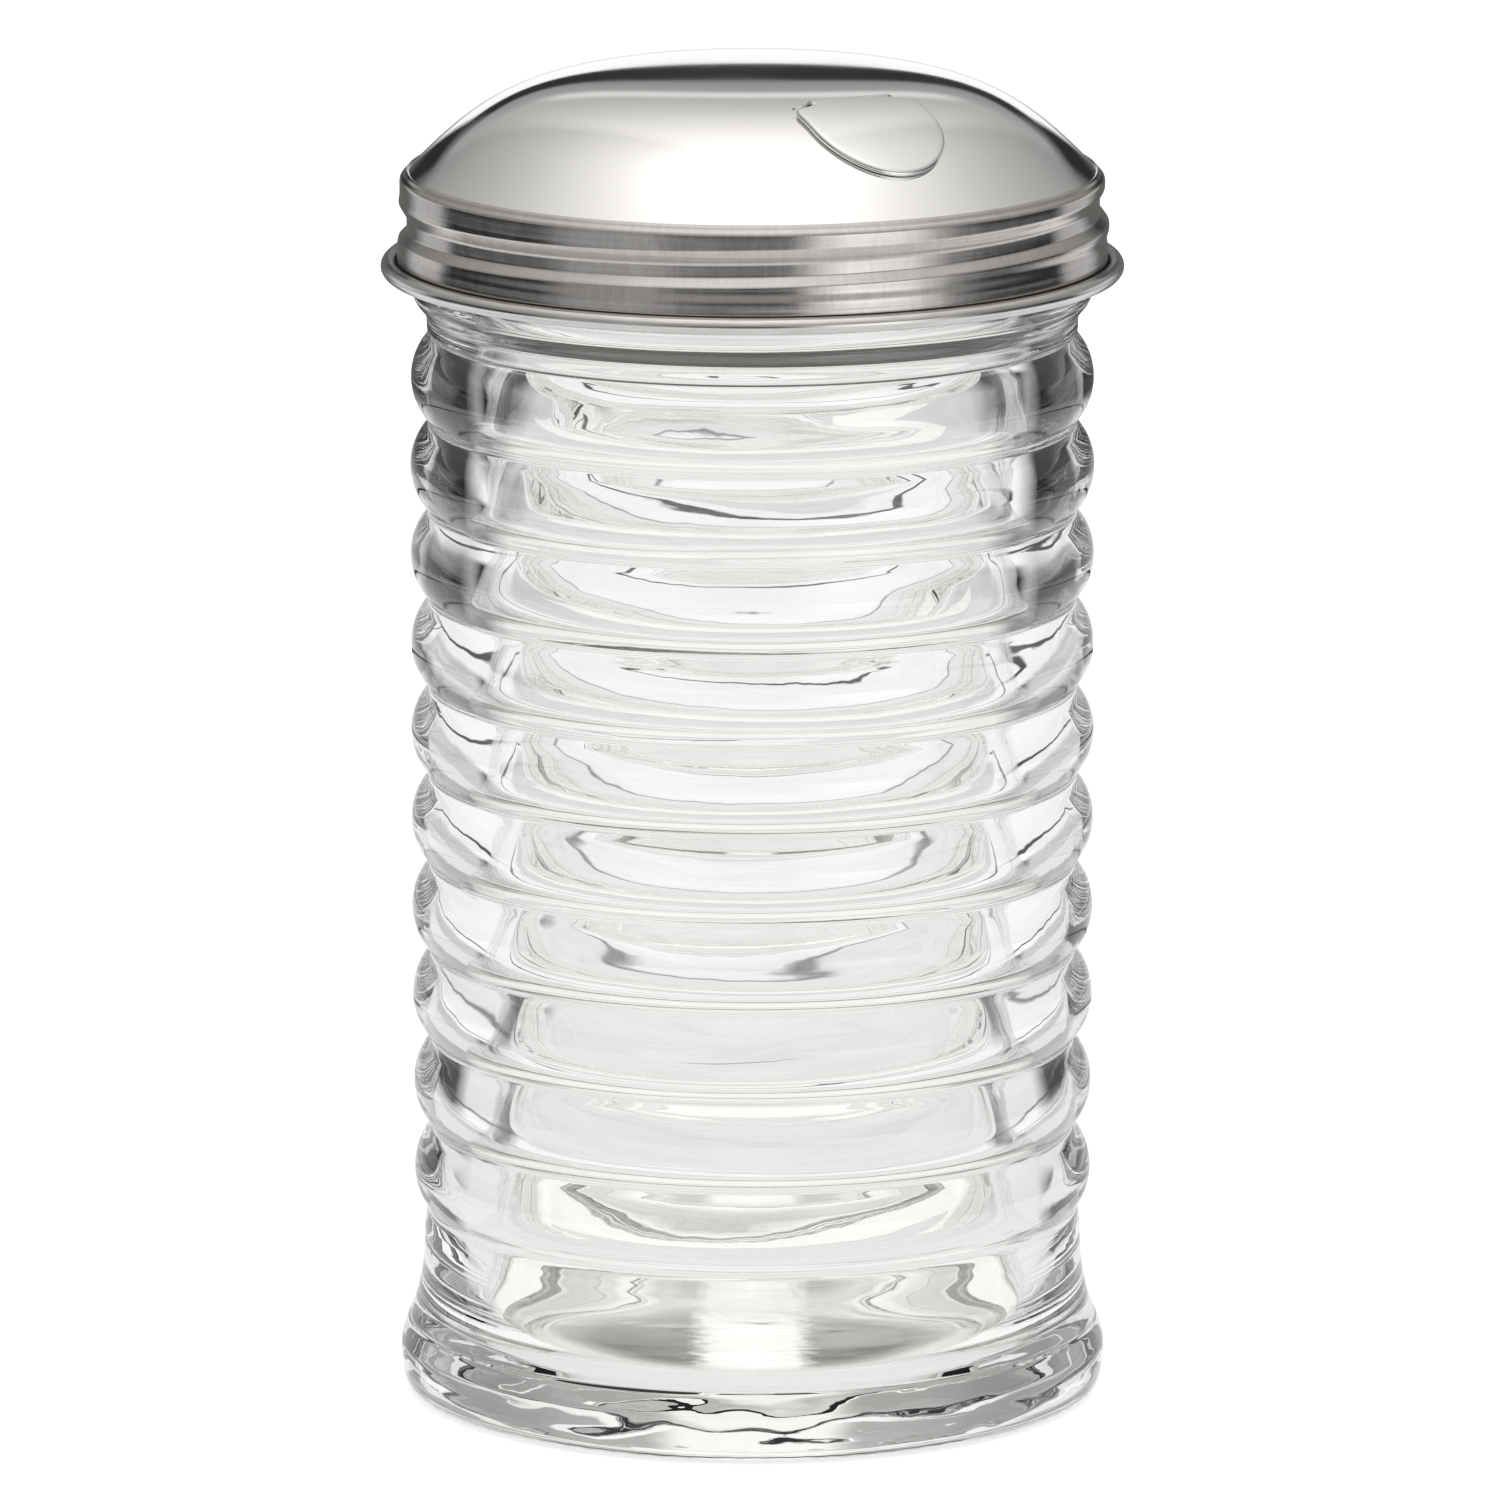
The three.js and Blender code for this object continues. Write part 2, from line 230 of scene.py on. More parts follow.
def node(nt, kind, **values):
    n = nt.nodes.new(kind)
    for key, value in values.items():
        if key.startswith("in_"):
            n.inputs[key[3:].replace("_", " ")].default_value = value
        else:
            setattr(n, key, value)
    return n


def maths(nt, operation, a, b=None, clamp=False):
    n = nt.nodes.new("ShaderNodeMath")
    n.operation = operation
    n.use_clamp = clamp
    for i, value in enumerate((a, b)):
        if value is None:
            continue
        if hasattr(value, "links"):
            nt.links.new(value, n.inputs[i])
        else:
            n.inputs[i].default_value = value
    return n.outputs[0]


def polar(nt):
    """The object coordinates split into x, y and z, the angle round the axis from ARCTAN2 of x and -y in radians, and
    the distance from the axis in metres.
    """
    tc = node(nt, "ShaderNodeTexCoord")
    sep = node(nt, "ShaderNodeSeparateXYZ")
    nt.links.new(tc.outputs["Object"], sep.inputs[0])
    turn = maths(nt, "ARCTAN2", sep.outputs["X"], maths(nt, "MULTIPLY", sep.outputs["Y"], -1.0))
    radius = maths(nt, "SQRT", maths(nt, "ADD", maths(nt, "MULTIPLY", sep.outputs["X"], sep.outputs["X"]),
                                      maths(nt, "MULTIPLY", sep.outputs["Y"], sep.outputs["Y"])))
    return sep, turn, radius


def ramp(nt, fac, stops, interpolation="LINEAR"):
    n = nt.nodes.new("ShaderNodeValToRGB")
    n.color_ramp.interpolation = interpolation
    e = n.color_ramp.elements

    def rgba(value):
        return (value, value, value, 1) if isinstance(value, (int, float)) else (*value, 1)

    e[0].position, e[0].color = stops[0][0], rgba(stops[0][1])
    e[1].position, e[1].color = stops[-1][0], rgba(stops[-1][1])
    for pos, value in stops[1:-1]:
        e.new(pos).color = rgba(value)
    nt.links.new(fac, n.inputs[0])
    return n.outputs[0]


# ------------------------------------------------------------------ glass jar
def rib_r(i, d):
    return RIB_CREST[i] - RIB_ARC + math.sqrt(RIB_ARC * RIB_ARC - d * d)


def jar_outline():
    out = [(0, 0.9)] + [(float(r), 0.9 * math.sqrt(1 - (r / 33.0) ** 2)) for r in np.linspace(1.6, 32.9, 20)]
    out += [(33.4, 0.0), (34.6, -0.0), (35.9, 0.0)]
    foot = [(35.9, 0.0), (37.08, 0.14), (37.70, 0.42), (38.11, 0.93), (38.30, 1.50), (38.47, 2.27), (38.57, 3.30),
            (38.60, 4.33), (38.52, 5.30), (38.34, 5.97), (38.11, 6.70), (37.88, 7.36), (37.76, 7.60), (37.66, 7.70), (37.615, 7.80), (37.60, 7.93)]
    out += catmull(foot, 0.35)[1:]
    flare = [(37.58, 8.03), (37.42, 8.45), (37.16, 9.15), (36.87, 9.99), (36.57, 11.33), (36.30, 12.67), (36.10, 14.2), (36.0, 16.2),
             (35.93, 17.8), (35.80, 19.1), (35.66, 19.9)]
    out += catmull(flare, 0.5)
    steps = 15
    half = RIB_PITCH / 2
    for i in range(9, -1, -1):
        z = RIB_TOP_Z - i * RIB_PITCH
        low = -half + RIB_FILLET if i < 9 else -4.02
        high = half - RIB_FILLET if i > 0 else 4.72
        for f in np.linspace(0, 1, steps + 1):
            d = low + (high - low) * f
            out.append((rib_r(i, d), z + d))
        if i > 0:
            # a small round fillet in the groove
            lean = math.asin(high / RIB_ARC)
            rad = RIB_FILLET / math.sin(lean)
            base = rib_r(i, high)
            for a in np.linspace(-lean, lean, 8)[1:-1]:
                out.append((base - rad * (math.cos(a) - math.cos(lean)), z + half + rad * math.sin(a)))
    neck = [(rib_r(0, 4.80) - 0.02, 117.1), (35.2, 117.35), (35.33, 117.7), (35.35, 118.45), (35.43, 119.17), (35.84, 119.89),
            (36.40, 120.55), (36.80, 121.3), (36.93, 122.2), (36.90, 123.0), (36.5, 123.42), (35.9, 123.6), (35.62, 123.9)]
    out += catmull(neck, 0.3)
    for z in np.arange(124.6, 133.9, 0.5):
        out.append((FINISH_R, float(z)))
    top = BORE_R - NECK_IN
    out += catmull([(FINISH_R, 134.0), (35.45, 134.6), (35.0, 135.02), (34.0, 135.2), (top + 3.3, 135.15), (top + 1.6, 134.95), (top + 0.5, 134.5),
                    (top + 0.06, 133.8)], 0.35)
    # the inside wall follows the ribs, softened; its lean in towards the thicker neck, NECK_IN, is zero
    for z in np.arange(133.0, 17.6, -0.8):
        on = min(1.0, max(0.0, (118 - z) / 5)) * min(1.0, max(0.0, (z - 17) / 3))
        out.append((BORE_R - NECK_IN * ease((z - NECK_FROM) / (NECK_TO - NECK_FROM))
                    + on * BORE_WAVE * (0.5 + 0.5 * math.cos(2 * math.pi * (z - RIB_TOP_Z) / RIB_PITCH)), float(z)))
    out += [(BORE_R, 16.8), (BORE_R, 15.0), (BORE_R, 13.2)]
    out += arc(BORE_R - CORNER_R, FLOOR_Z + CORNER_R, CORNER_R, 0, -86, 38)
    out += [(BORE_R - CORNER_R - z, FLOOR_Z) for z in np.arange(2.0, 21.0, 2.0)]
    out.append((0, FLOOR_Z))
    return out


jar_pts = jar_outline()
jar_r = np.array([p[0] for p in jar_pts])
jar_zs = np.array([p[1] for p in jar_pts])
rim_index = int(np.argmax(jar_zs))


def jar_push(r, z, az, k):
    outer = k < rim_index
    thread = np.where(outer & (z > 125.5) & (z < 133.9),
                      (THREAD_R - FINISH_R) * helix_bump(z, az, PITCH / 2, 1.15, 1.15, -330, 30, 25), 0)
    # the mould leaves the outside crisp; the inside wall is a little uneven, more so near the top
    upper = np.clip((z - 62) / 45, 0, 1)
    inside = np.where(~outer, 1.0, 0.0) * np.clip((r - 12) / 10, 0, 1) * (0.45 + 0.55 * np.clip((z - 6) / 10, 0, 1)) * np.clip((134 - z) / 3, 0, 1)
    soft = waves(z, az, 11, [(0.09, 42, 3, 7), (0.055, 14, 3, 6)])
    fine = waves(z, az, 23, [(0.036, 5.6, 3, 8), (0.013, 2.7, 8, 8), (0.0035, 1.5, 30, 8)])
    wall = inside * (soft + fine * (0.25 + 1.25 * upper))
    skin = np.where(outer & (z > 4) & (z < 123), 1.0, 0.0) * waves(z, az, 37, [(0.012, 30, 6, 8)])
    # a row of moulded stipples round the bearing ring
    spot = np.clip(1 - np.abs(z - 0.50) / 0.50, 0, 1) * np.where(outer & (r > 36.3) & (r < 38.4), 1.0, 0.0)
    stipple = -0.26 * spot * (0.5 + 0.5 * np.cos(np.radians(az) * 84))
    # both faces of the bottom are a little wavy too
    x, y = r * np.sin(np.radians(az)), -r * np.cos(np.radians(az))
    below = np.where(outer & (z < 1.0), 1.0, 0.0) * np.clip((32.0 - r) / 4, 0, 1)
    above = np.where(~outer & (z < 8.0), 1.0, 0.0) * np.clip((29.0 - r) / 5, 0, 1)
    lift = below * ripples(x, y, 3, [(0.040, 13, 6), (0.016, 5.5, 8)]) + above * ripples(x, y, 8, [(0.030, 15, 6), (0.010, 6, 8)])
    return thread + wall + skin + stipple, lift


jar = lathe("jar_clear_glass", jar_pts, 168, jar_push)
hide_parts("glass_jar")
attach(jar, "jar")

glass, nt, bsdf = new_material("clear_pressed_glass")
bsdf.inputs["Base Color"].default_value = (0.966, 0.970, 0.958, 1)
bsdf.inputs["Roughness"].default_value = 0.0
bsdf.inputs["IOR"].default_value = 1.52
bsdf.inputs["Transmission Weight"].default_value = 1.0
tc = node(nt, "ShaderNodeTexCoord")
swirl = node(nt, "ShaderNodeTexNoise", in_Scale=160.0, in_Detail=2.0, in_Roughness=0.45)
nt.links.new(tc.outputs["Object"], swirl.inputs["Vector"])
bump = node(nt, "ShaderNodeBump", in_Strength=0.06, in_Distance=0.0004)
nt.links.new(swirl.outputs["Fac"], bump.inputs["Height"])
nt.links.new(bump.outputs["Normal"], bsdf.inputs["Normal"])
jar.data.materials.append(glass)

# ------------------------------------------------------------------ lid
def lid_outline():
    out, marks = [], []

    def add(points, mark):
        for p in points:
            out.append(p)
            marks.append(mark)

    # the inner face first, from the axis outwards and down, then the hem, then the outer face up to the axis
    inner = [float(r) for r in np.concatenate([np.linspace(1.5, 30, 20), np.linspace(31, DOME_R - 0.25, 12)])]
    # mark 4: the inner face, given the dark inside material of painted shade
    out.append((0, float(dome_z(0)) - SHEET))
    marks.append(4)
    add([tuple(float(v) for v in dome_offset(r, -SHEET)) for r in inner], 4)
    add([(37.05, 134.42), (37.45, 134.25), (37.66, 133.85), (BAND_R - SHEET, 133.3)], 4)
    rows = [float(z) for z in np.arange(133.1, 125.3, -0.12)]

    def wall(z):
        return BAND_R + 0.10 * ease((132.3 - z) / 0.7) + 0.22 * ease((128.0 - z) / 1.5)

    add([(wall(z) - SHEET, z) for z in rows[::3]], 4)
    add([(SKIRT_R - SHEET + 0.03, 125.2), (SKIRT_R - SHEET + 0.08, 124.6)], 1)
    add(arc(HEM_R, HEM_Z, HEM_T, -150, 132, 36), 2)
    # mark 3: the crease above the hem, whose faces take the near-black material of painted shade
    add(arc(HEM_R, HEM_Z, HEM_T, 136, 152, 4), 3)
    add([(wall(125.0), 125.02), (wall(125.1), 125.2)], 3)
    add([(wall(z), z) for z in rows[::-1]], 1)
    add([(BAND_R, 133.4)], 1)
    # the shoulder rolls in, with a shallow line round it before the dome's foot
    add(arc(BAND_R - 0.72, 133.78, 0.72, 0, 58, 9), 1)
    add([(37.80, 134.46), (37.70, 134.60), (37.62, 134.76), (37.52, 134.88), (37.42, 134.93), (37.33, 134.93), (37.26, 134.89), (37.20, 134.87),
         (37.14, 134.90)], 1)
    outer = [float(r) for r in np.concatenate([np.linspace(DOME_R, 30, 34), np.linspace(29.6, 0.6, 68)])]
    add([(r, float(dome_z(r))) for r in outer], 0)
    out.append((0, float(dome_z(0))))
    marks.append(0)
    return out, marks


lid_pts, lid_marks = lid_outline()


def lid_push(r, z, az, k):
    cut = np.where((r > 37.5) & (z > 125.3) & (z < 133.2),
                   -GROOVE_DEPTH * helix_bump(z, az, 0, GROOVE_UP, GROOVE_DOWN, -262, 118, 40, GROOVE_FLAT_UP, GROOVE_FLAT_DOWN), 0)
    # the wall stands out a little under the groove's far end
    a = (az + 180) % 360 - 180
    side = np.clip((a - 12) / 38, 0, 1)
    side = side * side * (3 - 2 * side) * np.clip((150 - a) / 40, 0, 1)
    swell = np.where((r > 37.5) & (z > 125.3) & (z < 133.2), 0.38 * side * np.exp(-((z - 128.9) / 1.1) ** 2), 0)
    dent = np.where((r > 37.4) & (z > 125.9), waves(z, az, 5, [(0.012, 60, 7, 8)]), 0)
    return cut + swell + dent


lid = lathe("lid_stamped_cap", lid_pts, 288, lid_push, lid_marks)
# one slot for each finish before the hole is cut, so that every face keeps its own; the hem crease and the inside carry
# painted shade
for finish in ("lid_polished_dome", "lid_brushed_skirt", "lid_rolled_hem", "lid_hem_crease_painted_shade", "lid_dull_inside_painted_shade"):
    lid.data.materials.append(bpy.data.materials.new(finish))


def prism(name, outline, z0, z1):
    """A vertical prism from a closed outline of (x, y) in millimetres."""
    n = len(outline)
    co = [(x * MM, y * MM, z0 * MM) for x, y in outline] + [(x * MM, y * MM, z1 * MM) for x, y in outline]
    faces = [tuple(range(n))[::-1], tuple(range(n, 2 * n))]
    faces += [(i, (i + 1) % n, n + (i + 1) % n, n + i) for i in range(n)]
    mesh = bpy.data.meshes.new(name)
    mesh.from_pydata(co, [], faces)
    mesh.update()
    obj = bpy.data.objects.new(name, mesh)
    bpy.context.scene.collection.objects.link(obj)
    outward(mesh)
    return obj


HOLE_W, HOLE_END_Y = 5.8, -25.7
hole = [(-5.2, HINGE_Y + 1.45), (-5.2, HINGE_Y + 0.75), (-6.8, HINGE_Y + 0.75), (-6.8, HINGE_Y - 0.85), (-HOLE_W, HINGE_Y - 0.85)]
hole += [(HOLE_W * math.cos(t), HOLE_END_Y + HOLE_W * math.sin(t)) for t in np.linspace(math.pi, 2 * math.pi, 41)]
hole += [(HOLE_W, HINGE_Y - 0.85), (6.8, HINGE_Y - 0.85), (6.8, HINGE_Y + 0.75), (5.2, HINGE_Y + 0.75), (5.2, HINGE_Y + 1.45)]
cutter = prism("pour_hole_cutter", hole, 137.5, 149.5)
mod = lid.modifiers.new("pour_hole", "BOOLEAN")
mod.operation = "DIFFERENCE"
mod.solver = "EXACT"
mod.object = cutter
bpy.context.view_layer.update()
cut_mesh = bpy.data.meshes.new_from_object(lid.evaluated_get(bpy.context.evaluated_depsgraph_get()))
lid.modifiers.clear()
lid.data = cut_mesh
bpy.data.objects.remove(cutter)


def dome_normals(obj):
    """Exact normals on the mirror dome; every other face keeps its own."""
    mesh = obj.data
    mesh.polygons.foreach_set("use_smooth", np.ones(len(mesh.polygons), bool))
    mesh.set_sharp_from_angle(angle=math.radians(38))
    mesh.update()
    count = len(mesh.loops)
    own = np.zeros(count * 3, np.float32)
    mesh.corner_normals.foreach_get("vector", own)
    own = own.reshape(-1, 3)
    co = np.zeros(len(mesh.vertices) * 3, np.float32)
    mesh.vertices.foreach_get("co", co)
    co = co.reshape(-1, 3) / MM
    vi = np.zeros(count, np.int32)
    mesh.loops.foreach_get("vertex_index", vi)
    r = np.hypot(co[:, 0], co[:, 1])
    s = dome_slope(np.minimum(r, DOME_R))
    n = np.stack([s * co[:, 0] / np.maximum(r, 1e-6), s * co[:, 1] / np.maximum(r, 1e-6), np.ones_like(r)], 1)
    n /= np.linalg.norm(n, axis=1)[:, None]
    up = (np.abs(co[:, 2] - dome_z(r)) < 0.03) & (r < DOME_R + 0.01)
    under = (np.abs(co[:, 2] + SHEET / np.maximum(n[:, 2], 0.5) - dome_z(r)) < 0.06) & (r < DOME_R - 0.6)
    facing = np.sum(own * n[vi], 1)
    own = np.where((up[vi] & (facing > 0.8))[:, None], n[vi], own)
    own = np.where((under[vi] & (facing < -0.8))[:, None], -n[vi], own)
    mesh.normals_split_custom_set([tuple(v) for v in own])


dome_normals(lid)
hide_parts("lid_cap")
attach(lid, "lid")

# mirror-polished dome: tint and roughness vary faintly in soft clouds
mirror, nt, bsdf = new_material("lid_polished_dome")
bsdf.inputs["Metallic"].default_value = 1.0
sep, turn, radius = polar(nt)
tc = node(nt, "ShaderNodeTexCoord")
cloud = node(nt, "ShaderNodeTexNoise", in_Scale=55.0, in_Detail=4.0, in_Roughness=0.55)
nt.links.new(tc.outputs["Object"], cloud.inputs["Vector"])
tint = node(nt, "ShaderNodeMix", data_type="RGBA")
tint.inputs["A"].default_value = (0.850, 0.840, 0.828, 1)
tint.inputs["B"].default_value = (0.890, 0.882, 0.874, 1)
nt.links.new(cloud.outputs["Fac"], tint.inputs["Factor"])
nt.links.new(tint.outputs["Result"], bsdf.inputs["Base Color"])
nt.links.new(ramp(nt, cloud.outputs["Fac"], [(0.3, 0.050), (0.7, 0.085)]), bsdf.inputs["Roughness"])

# satin skirt, brushed round the axis
brushed, nt, bsdf = new_material("lid_brushed_skirt")
bsdf.inputs["Metallic"].default_value = 1.0
sep, turn, radius = polar(nt)
line = node(nt, "ShaderNodeCombineXYZ")
nt.links.new(maths(nt, "MULTIPLY", turn, 2.2), line.inputs["X"])
nt.links.new(maths(nt, "MULTIPLY", sep.outputs["Z"], 5200.0), line.inputs["Z"])
nt.links.new(maths(nt, "MULTIPLY", radius, 900.0), line.inputs["Y"])
grain = node(nt, "ShaderNodeTexNoise", in_Scale=1.0, in_Detail=5.0, in_Roughness=0.62)
nt.links.new(line.outputs[0], grain.inputs["Vector"])
mottle_at = node(nt, "ShaderNodeCombineXYZ")
nt.links.new(maths(nt, "MULTIPLY", turn, 26.0), mottle_at.inputs["X"])
nt.links.new(maths(nt, "MULTIPLY", sep.outputs["Z"], 260.0), mottle_at.inputs["Z"])
mottle = node(nt, "ShaderNodeTexNoise", in_Scale=1.0, in_Detail=4.0, in_Roughness=0.6)
nt.links.new(mottle_at.outputs[0], mottle.inputs["Vector"])
upright_at = node(nt, "ShaderNodeCombineXYZ")
nt.links.new(maths(nt, "MULTIPLY", turn, 240.0), upright_at.inputs["X"])
nt.links.new(maths(nt, "MULTIPLY", sep.outputs["Z"], 420.0), upright_at.inputs["Z"])
upright = node(nt, "ShaderNodeTexNoise", in_Scale=1.0, in_Detail=3.0, in_Roughness=0.6)
nt.links.new(upright_at.outputs[0], upright.inputs["Vector"])
mixed = maths(nt, "ADD", maths(nt, "MULTIPLY", grain.outputs["Fac"], 0.35),
              maths(nt, "ADD", maths(nt, "MULTIPLY", mottle.outputs["Fac"], 0.35), maths(nt, "MULTIPLY", upright.outputs["Fac"], 0.30)))
nt.links.new(ramp(nt, mixed, [(0.32, (0.47, 0.450, 0.434)), (0.68, (0.63, 0.612, 0.596))]), bsdf.inputs["Base Color"])
nt.links.new(ramp(nt, mixed, [(0.3, 0.14), (0.7, 0.21)]), bsdf.inputs["Roughness"])
bsdf.inputs["Anisotropic"].default_value = 0.75
bsdf.inputs["Anisotropic Rotation"].default_value = 0.25
bump = node(nt, "ShaderNodeBump", in_Strength=0.30, in_Distance=0.00004)
nt.links.new(mixed, bump.inputs["Height"])
nt.links.new(bump.outputs["Normal"], bsdf.inputs["Normal"])

# the rolled hem is brighter, worn smooth
hem_mat, nt, bsdf = new_material("lid_rolled_hem")
bsdf.inputs["Metallic"].default_value = 1.0
sep, turn, radius = polar(nt)
line = node(nt, "ShaderNodeCombineXYZ")
nt.links.new(maths(nt, "MULTIPLY", turn, 9.0), line.inputs["X"])
nt.links.new(maths(nt, "MULTIPLY", sep.outputs["Z"], 2600.0), line.inputs["Z"])
grain = node(nt, "ShaderNodeTexNoise", in_Scale=1.0, in_Detail=4.0, in_Roughness=0.6)
nt.links.new(line.outputs[0], grain.inputs["Vector"])
nt.links.new(ramp(nt, grain.outputs["Fac"], [(0.3, (0.58, 0.568, 0.555)), (0.7, (0.72, 0.708, 0.696))]), bsdf.inputs["Base Color"])
nt.links.new(ramp(nt, grain.outputs["Fac"], [(0.3, 0.18), (0.7, 0.26)]), bsdf.inputs["Roughness"])

# painted shade in the narrow crease above the hem: a near-black, speckled colour
crease, nt, bsdf = new_material("lid_hem_crease_painted_shade")
bsdf.inputs["Metallic"].default_value = 0.6
tc = node(nt, "ShaderNodeTexCoord")
shade_speckle = node(nt, "ShaderNodeTexNoise", in_Scale=400.0, in_Detail=3.0)
nt.links.new(tc.outputs["Object"], shade_speckle.inputs["Vector"])
nt.links.new(ramp(nt, shade_speckle.outputs["Fac"], [(0.3, (0.012, 0.010, 0.009)), (0.75, (0.06, 0.055, 0.05))]), bsdf.inputs["Base Color"])
bsdf.inputs["Roughness"].default_value = 0.6

# unpolished drawn sheet inside: rougher than the outside, and its dark base colour is painted shade, the shade inside
# the cap
dull_and_shade, nt, bsdf = new_material("lid_dull_inside_painted_shade")
bsdf.inputs["Metallic"].default_value = 1.0
tc = node(nt, "ShaderNodeTexCoord")
haze_and_shade = node(nt, "ShaderNodeTexNoise", in_Scale=90.0, in_Detail=5.0, in_Roughness=0.6)
nt.links.new(tc.outputs["Object"], haze_and_shade.inputs["Vector"])
nt.links.new(ramp(nt, haze_and_shade.outputs["Fac"], [(0.3, (0.24, 0.232, 0.224)), (0.7, (0.36, 0.352, 0.344))]), bsdf.inputs["Base Color"])
nt.links.new(ramp(nt, haze_and_shade.outputs["Fac"], [(0.3, 0.36), (0.7, 0.50)]), bsdf.inputs["Roughness"])

for i, m in enumerate((mirror, brushed, hem_mat, crease, dull_and_shade)):
    lid.data.materials[i] = m

# ------------------------------------------------------------------ flap
def flap_plan():
    """Half-open outline of the flap seen from above, x to the right, y towards the axis."""
    w, end = 7.5, -25.7
    pts = [(-4.8, HINGE_Y + 0.25), (-4.95, HINGE_Y - 0.58), (-6.5, HINGE_Y - 0.68), (-7.15, HINGE_Y - 0.85), (-w + 0.02, HINGE_Y - 1.45), (-w, -23.1)]
    pts += [(-w, -23.9), (-w, -24.8)]
    pts += [(w * math.cos(t), end + w * math.sin(t)) for t in np.linspace(math.pi, 2 * math.pi, 49)]
    pts += [(w, -24.8), (w, -23.9), (w, -23.1), (w - 0.02, HINGE_Y - 1.45), (7.15, HINGE_Y - 0.85), (6.5, HINGE_Y - 0.68), (4.95, HINGE_Y - 0.58),
            (4.8, HINGE_Y + 0.25)]
    return pts


def resample(points, step, closed=False):
    p = np.array(points, float)
    if closed:
        p = np.vstack([p, p[:1]])
    d = np.concatenate([[0], np.cumsum(np.linalg.norm(np.diff(p, axis=0), axis=1))])
    n = max(3, int(round(d[-1] / step)))
    t = np.linspace(0, d[-1], n + 1)
    q = np.stack([np.interp(t, d, p[:, 0]), np.interp(t, d, p[:, 1])], 1)
    return q[:-1] if closed else q


def flap_mesh():
    plan = resample(flap_plan(), 0.32, closed=True)
    # round the corners of the plan a little
    for _ in range(2):
        plan = 0.25 * np.roll(plan, 1, 0) + 0.5 * plan + 0.25 * np.roll(plan, -1, 0)
    tangent = np.roll(plan, -1, 0) - np.roll(plan, 1, 0)
    tangent /= np.linalg.norm(tangent, axis=1)[:, None]
    normal = np.stack([tangent[:, 1], -tangent[:, 0]], 1)
    centre = np.array([0, -25.7])
    if np.mean(np.sum(normal * (plan - centre), 1)) < 0:
        normal = -normal
    hinge_end = np.clip((plan[:, 1] - (HINGE_Y - 0.7)) / 0.5, 0, 1)
    half_t = FLAP_T / 2
    mid = FLAP_GAP + half_t

    def ring(q, height):
        r = np.hypot(q[:, 0], q[:, 1])
        s = dome_slope(np.minimum(r, 35.6))
        n = np.sqrt(1 + s * s)
        k = 1 + height * s / n / np.maximum(r, 1e-6)
        z = dome_z(np.minimum(r, 35.6)) + height / n
        return np.stack([q[:, 0] * k, q[:, 1] * k, z], 1)

    rings = []
    top_scale = [0.0, 0.12, 0.24, 0.36, 0.48, 0.6, 0.7, 0.8, 0.88, 0.94, 1.0]
    roll = 0.42
    base = plan - normal * roll
    for k in top_scale[1:]:
        q = centre + (base - centre) * k
        rings.append(ring(q, np.full(len(q), mid + half_t)))
    # rolled-over edge: the sheet turns down and stops just above the dome
    for a in np.linspace(0, 90, 9)[1:]:
        t = math.radians(a)
        q = base + normal * (roll * math.sin(t))
        rings.append(ring(q, mid + half_t - (1 - math.cos(t)) * 0.34))
    rings.append(ring(plan, np.full(len(plan), FLAP_GAP - 0.16)))
    for d, h in ((0.06, -0.22), (0.22, -0.22), (0.30, -0.16), (0.36, 0.0)):
        rings.append(ring(plan - normal * d, np.full(len(plan), FLAP_GAP + h)))
    for k in top_scale[::-1]:
        if k == 0:
            continue
        q = centre + (plan - normal * (roll + 0.1) - centre) * k
        rings.append(ring(q, np.full(len(q), FLAP_GAP)))
    n = len(plan)
    co = np.vstack([ring(centre[None], np.array([mid + half_t]))] + rings + [ring(centre[None], np.array([FLAP_GAP]))])
    faces = [(0, 1 + j, 1 + (j + 1) % n) for j in range(n)]
    for k in range(len(rings) - 1):
        a, b = 1 + k * n, 1 + (k + 1) * n
        faces += [(a + j, b + j, b + (j + 1) % n, a + (j + 1) % n) for j in range(n)]
    a, last = 1 + (len(rings) - 1) * n, len(co) - 1
    faces += [(a + j, last, a + (j + 1) % n) for j in range(n)]
    mesh = bpy.data.meshes.new("flap_sheet")
    mesh.from_pydata([tuple(c * MM) for c in co], [], faces)
    mesh.polygons.foreach_set("use_smooth", np.ones(len(faces), bool))
    mesh.update()
    outward(mesh)
    obj = bpy.data.objects.new("flap_sheet", mesh)
    bpy.context.scene.collection.objects.link(obj)
    return obj


def knuckle_mesh():
    """The narrow end of the sheet, curled down round the wire."""
    outer, inner, half = KNUCKLE_R, KNUCKLE_R - 0.4, 4.9
    bm = bmesh.new()
    rows = []
    for a in np.linspace(112, -205, 61):
        c, t = math.cos(math.radians(a)), math.sin(math.radians(a))
        row = []
        for x, rad in ((-half, inner), (-half, outer - 0.08), (-half + 0.08, outer), (half - 0.08, outer), (half, outer - 0.08), (half, inner)):
            row.append(bm.verts.new((x * MM, (HINGE_Y + rad * c) * MM, (HINGE_Z + rad * t) * MM)))
        rows.append(row)
    for a, b in zip(rows, rows[1:]):
        for i in range(6):
            bm.faces.new((a[i], a[(i + 1) % 6], b[(i + 1) % 6], b[i]))
    bm.faces.new(rows[0])
    bm.faces.new(rows[-1][::-1])
    mesh = bpy.data.meshes.new("knuckle")
    bm.to_mesh(mesh)
    bm.free()
    mesh.polygons.foreach_set("use_smooth", np.ones(len(mesh.polygons), bool))
    outward(mesh)
    mesh.set_sharp_from_angle(angle=math.radians(40))
    return mesh


def join(first, mesh):
    """One object from two closed shells that overlap."""
    bm = bmesh.new()
    bm.from_mesh(first.data)
    bm.from_mesh(mesh)
    bm.to_mesh(first.data)
    bm.free()
    bpy.data.meshes.remove(mesh)
    first.data.update()


flap = flap_mesh()
join(flap, knuckle_mesh())
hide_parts("flap")
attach(flap, "flap")

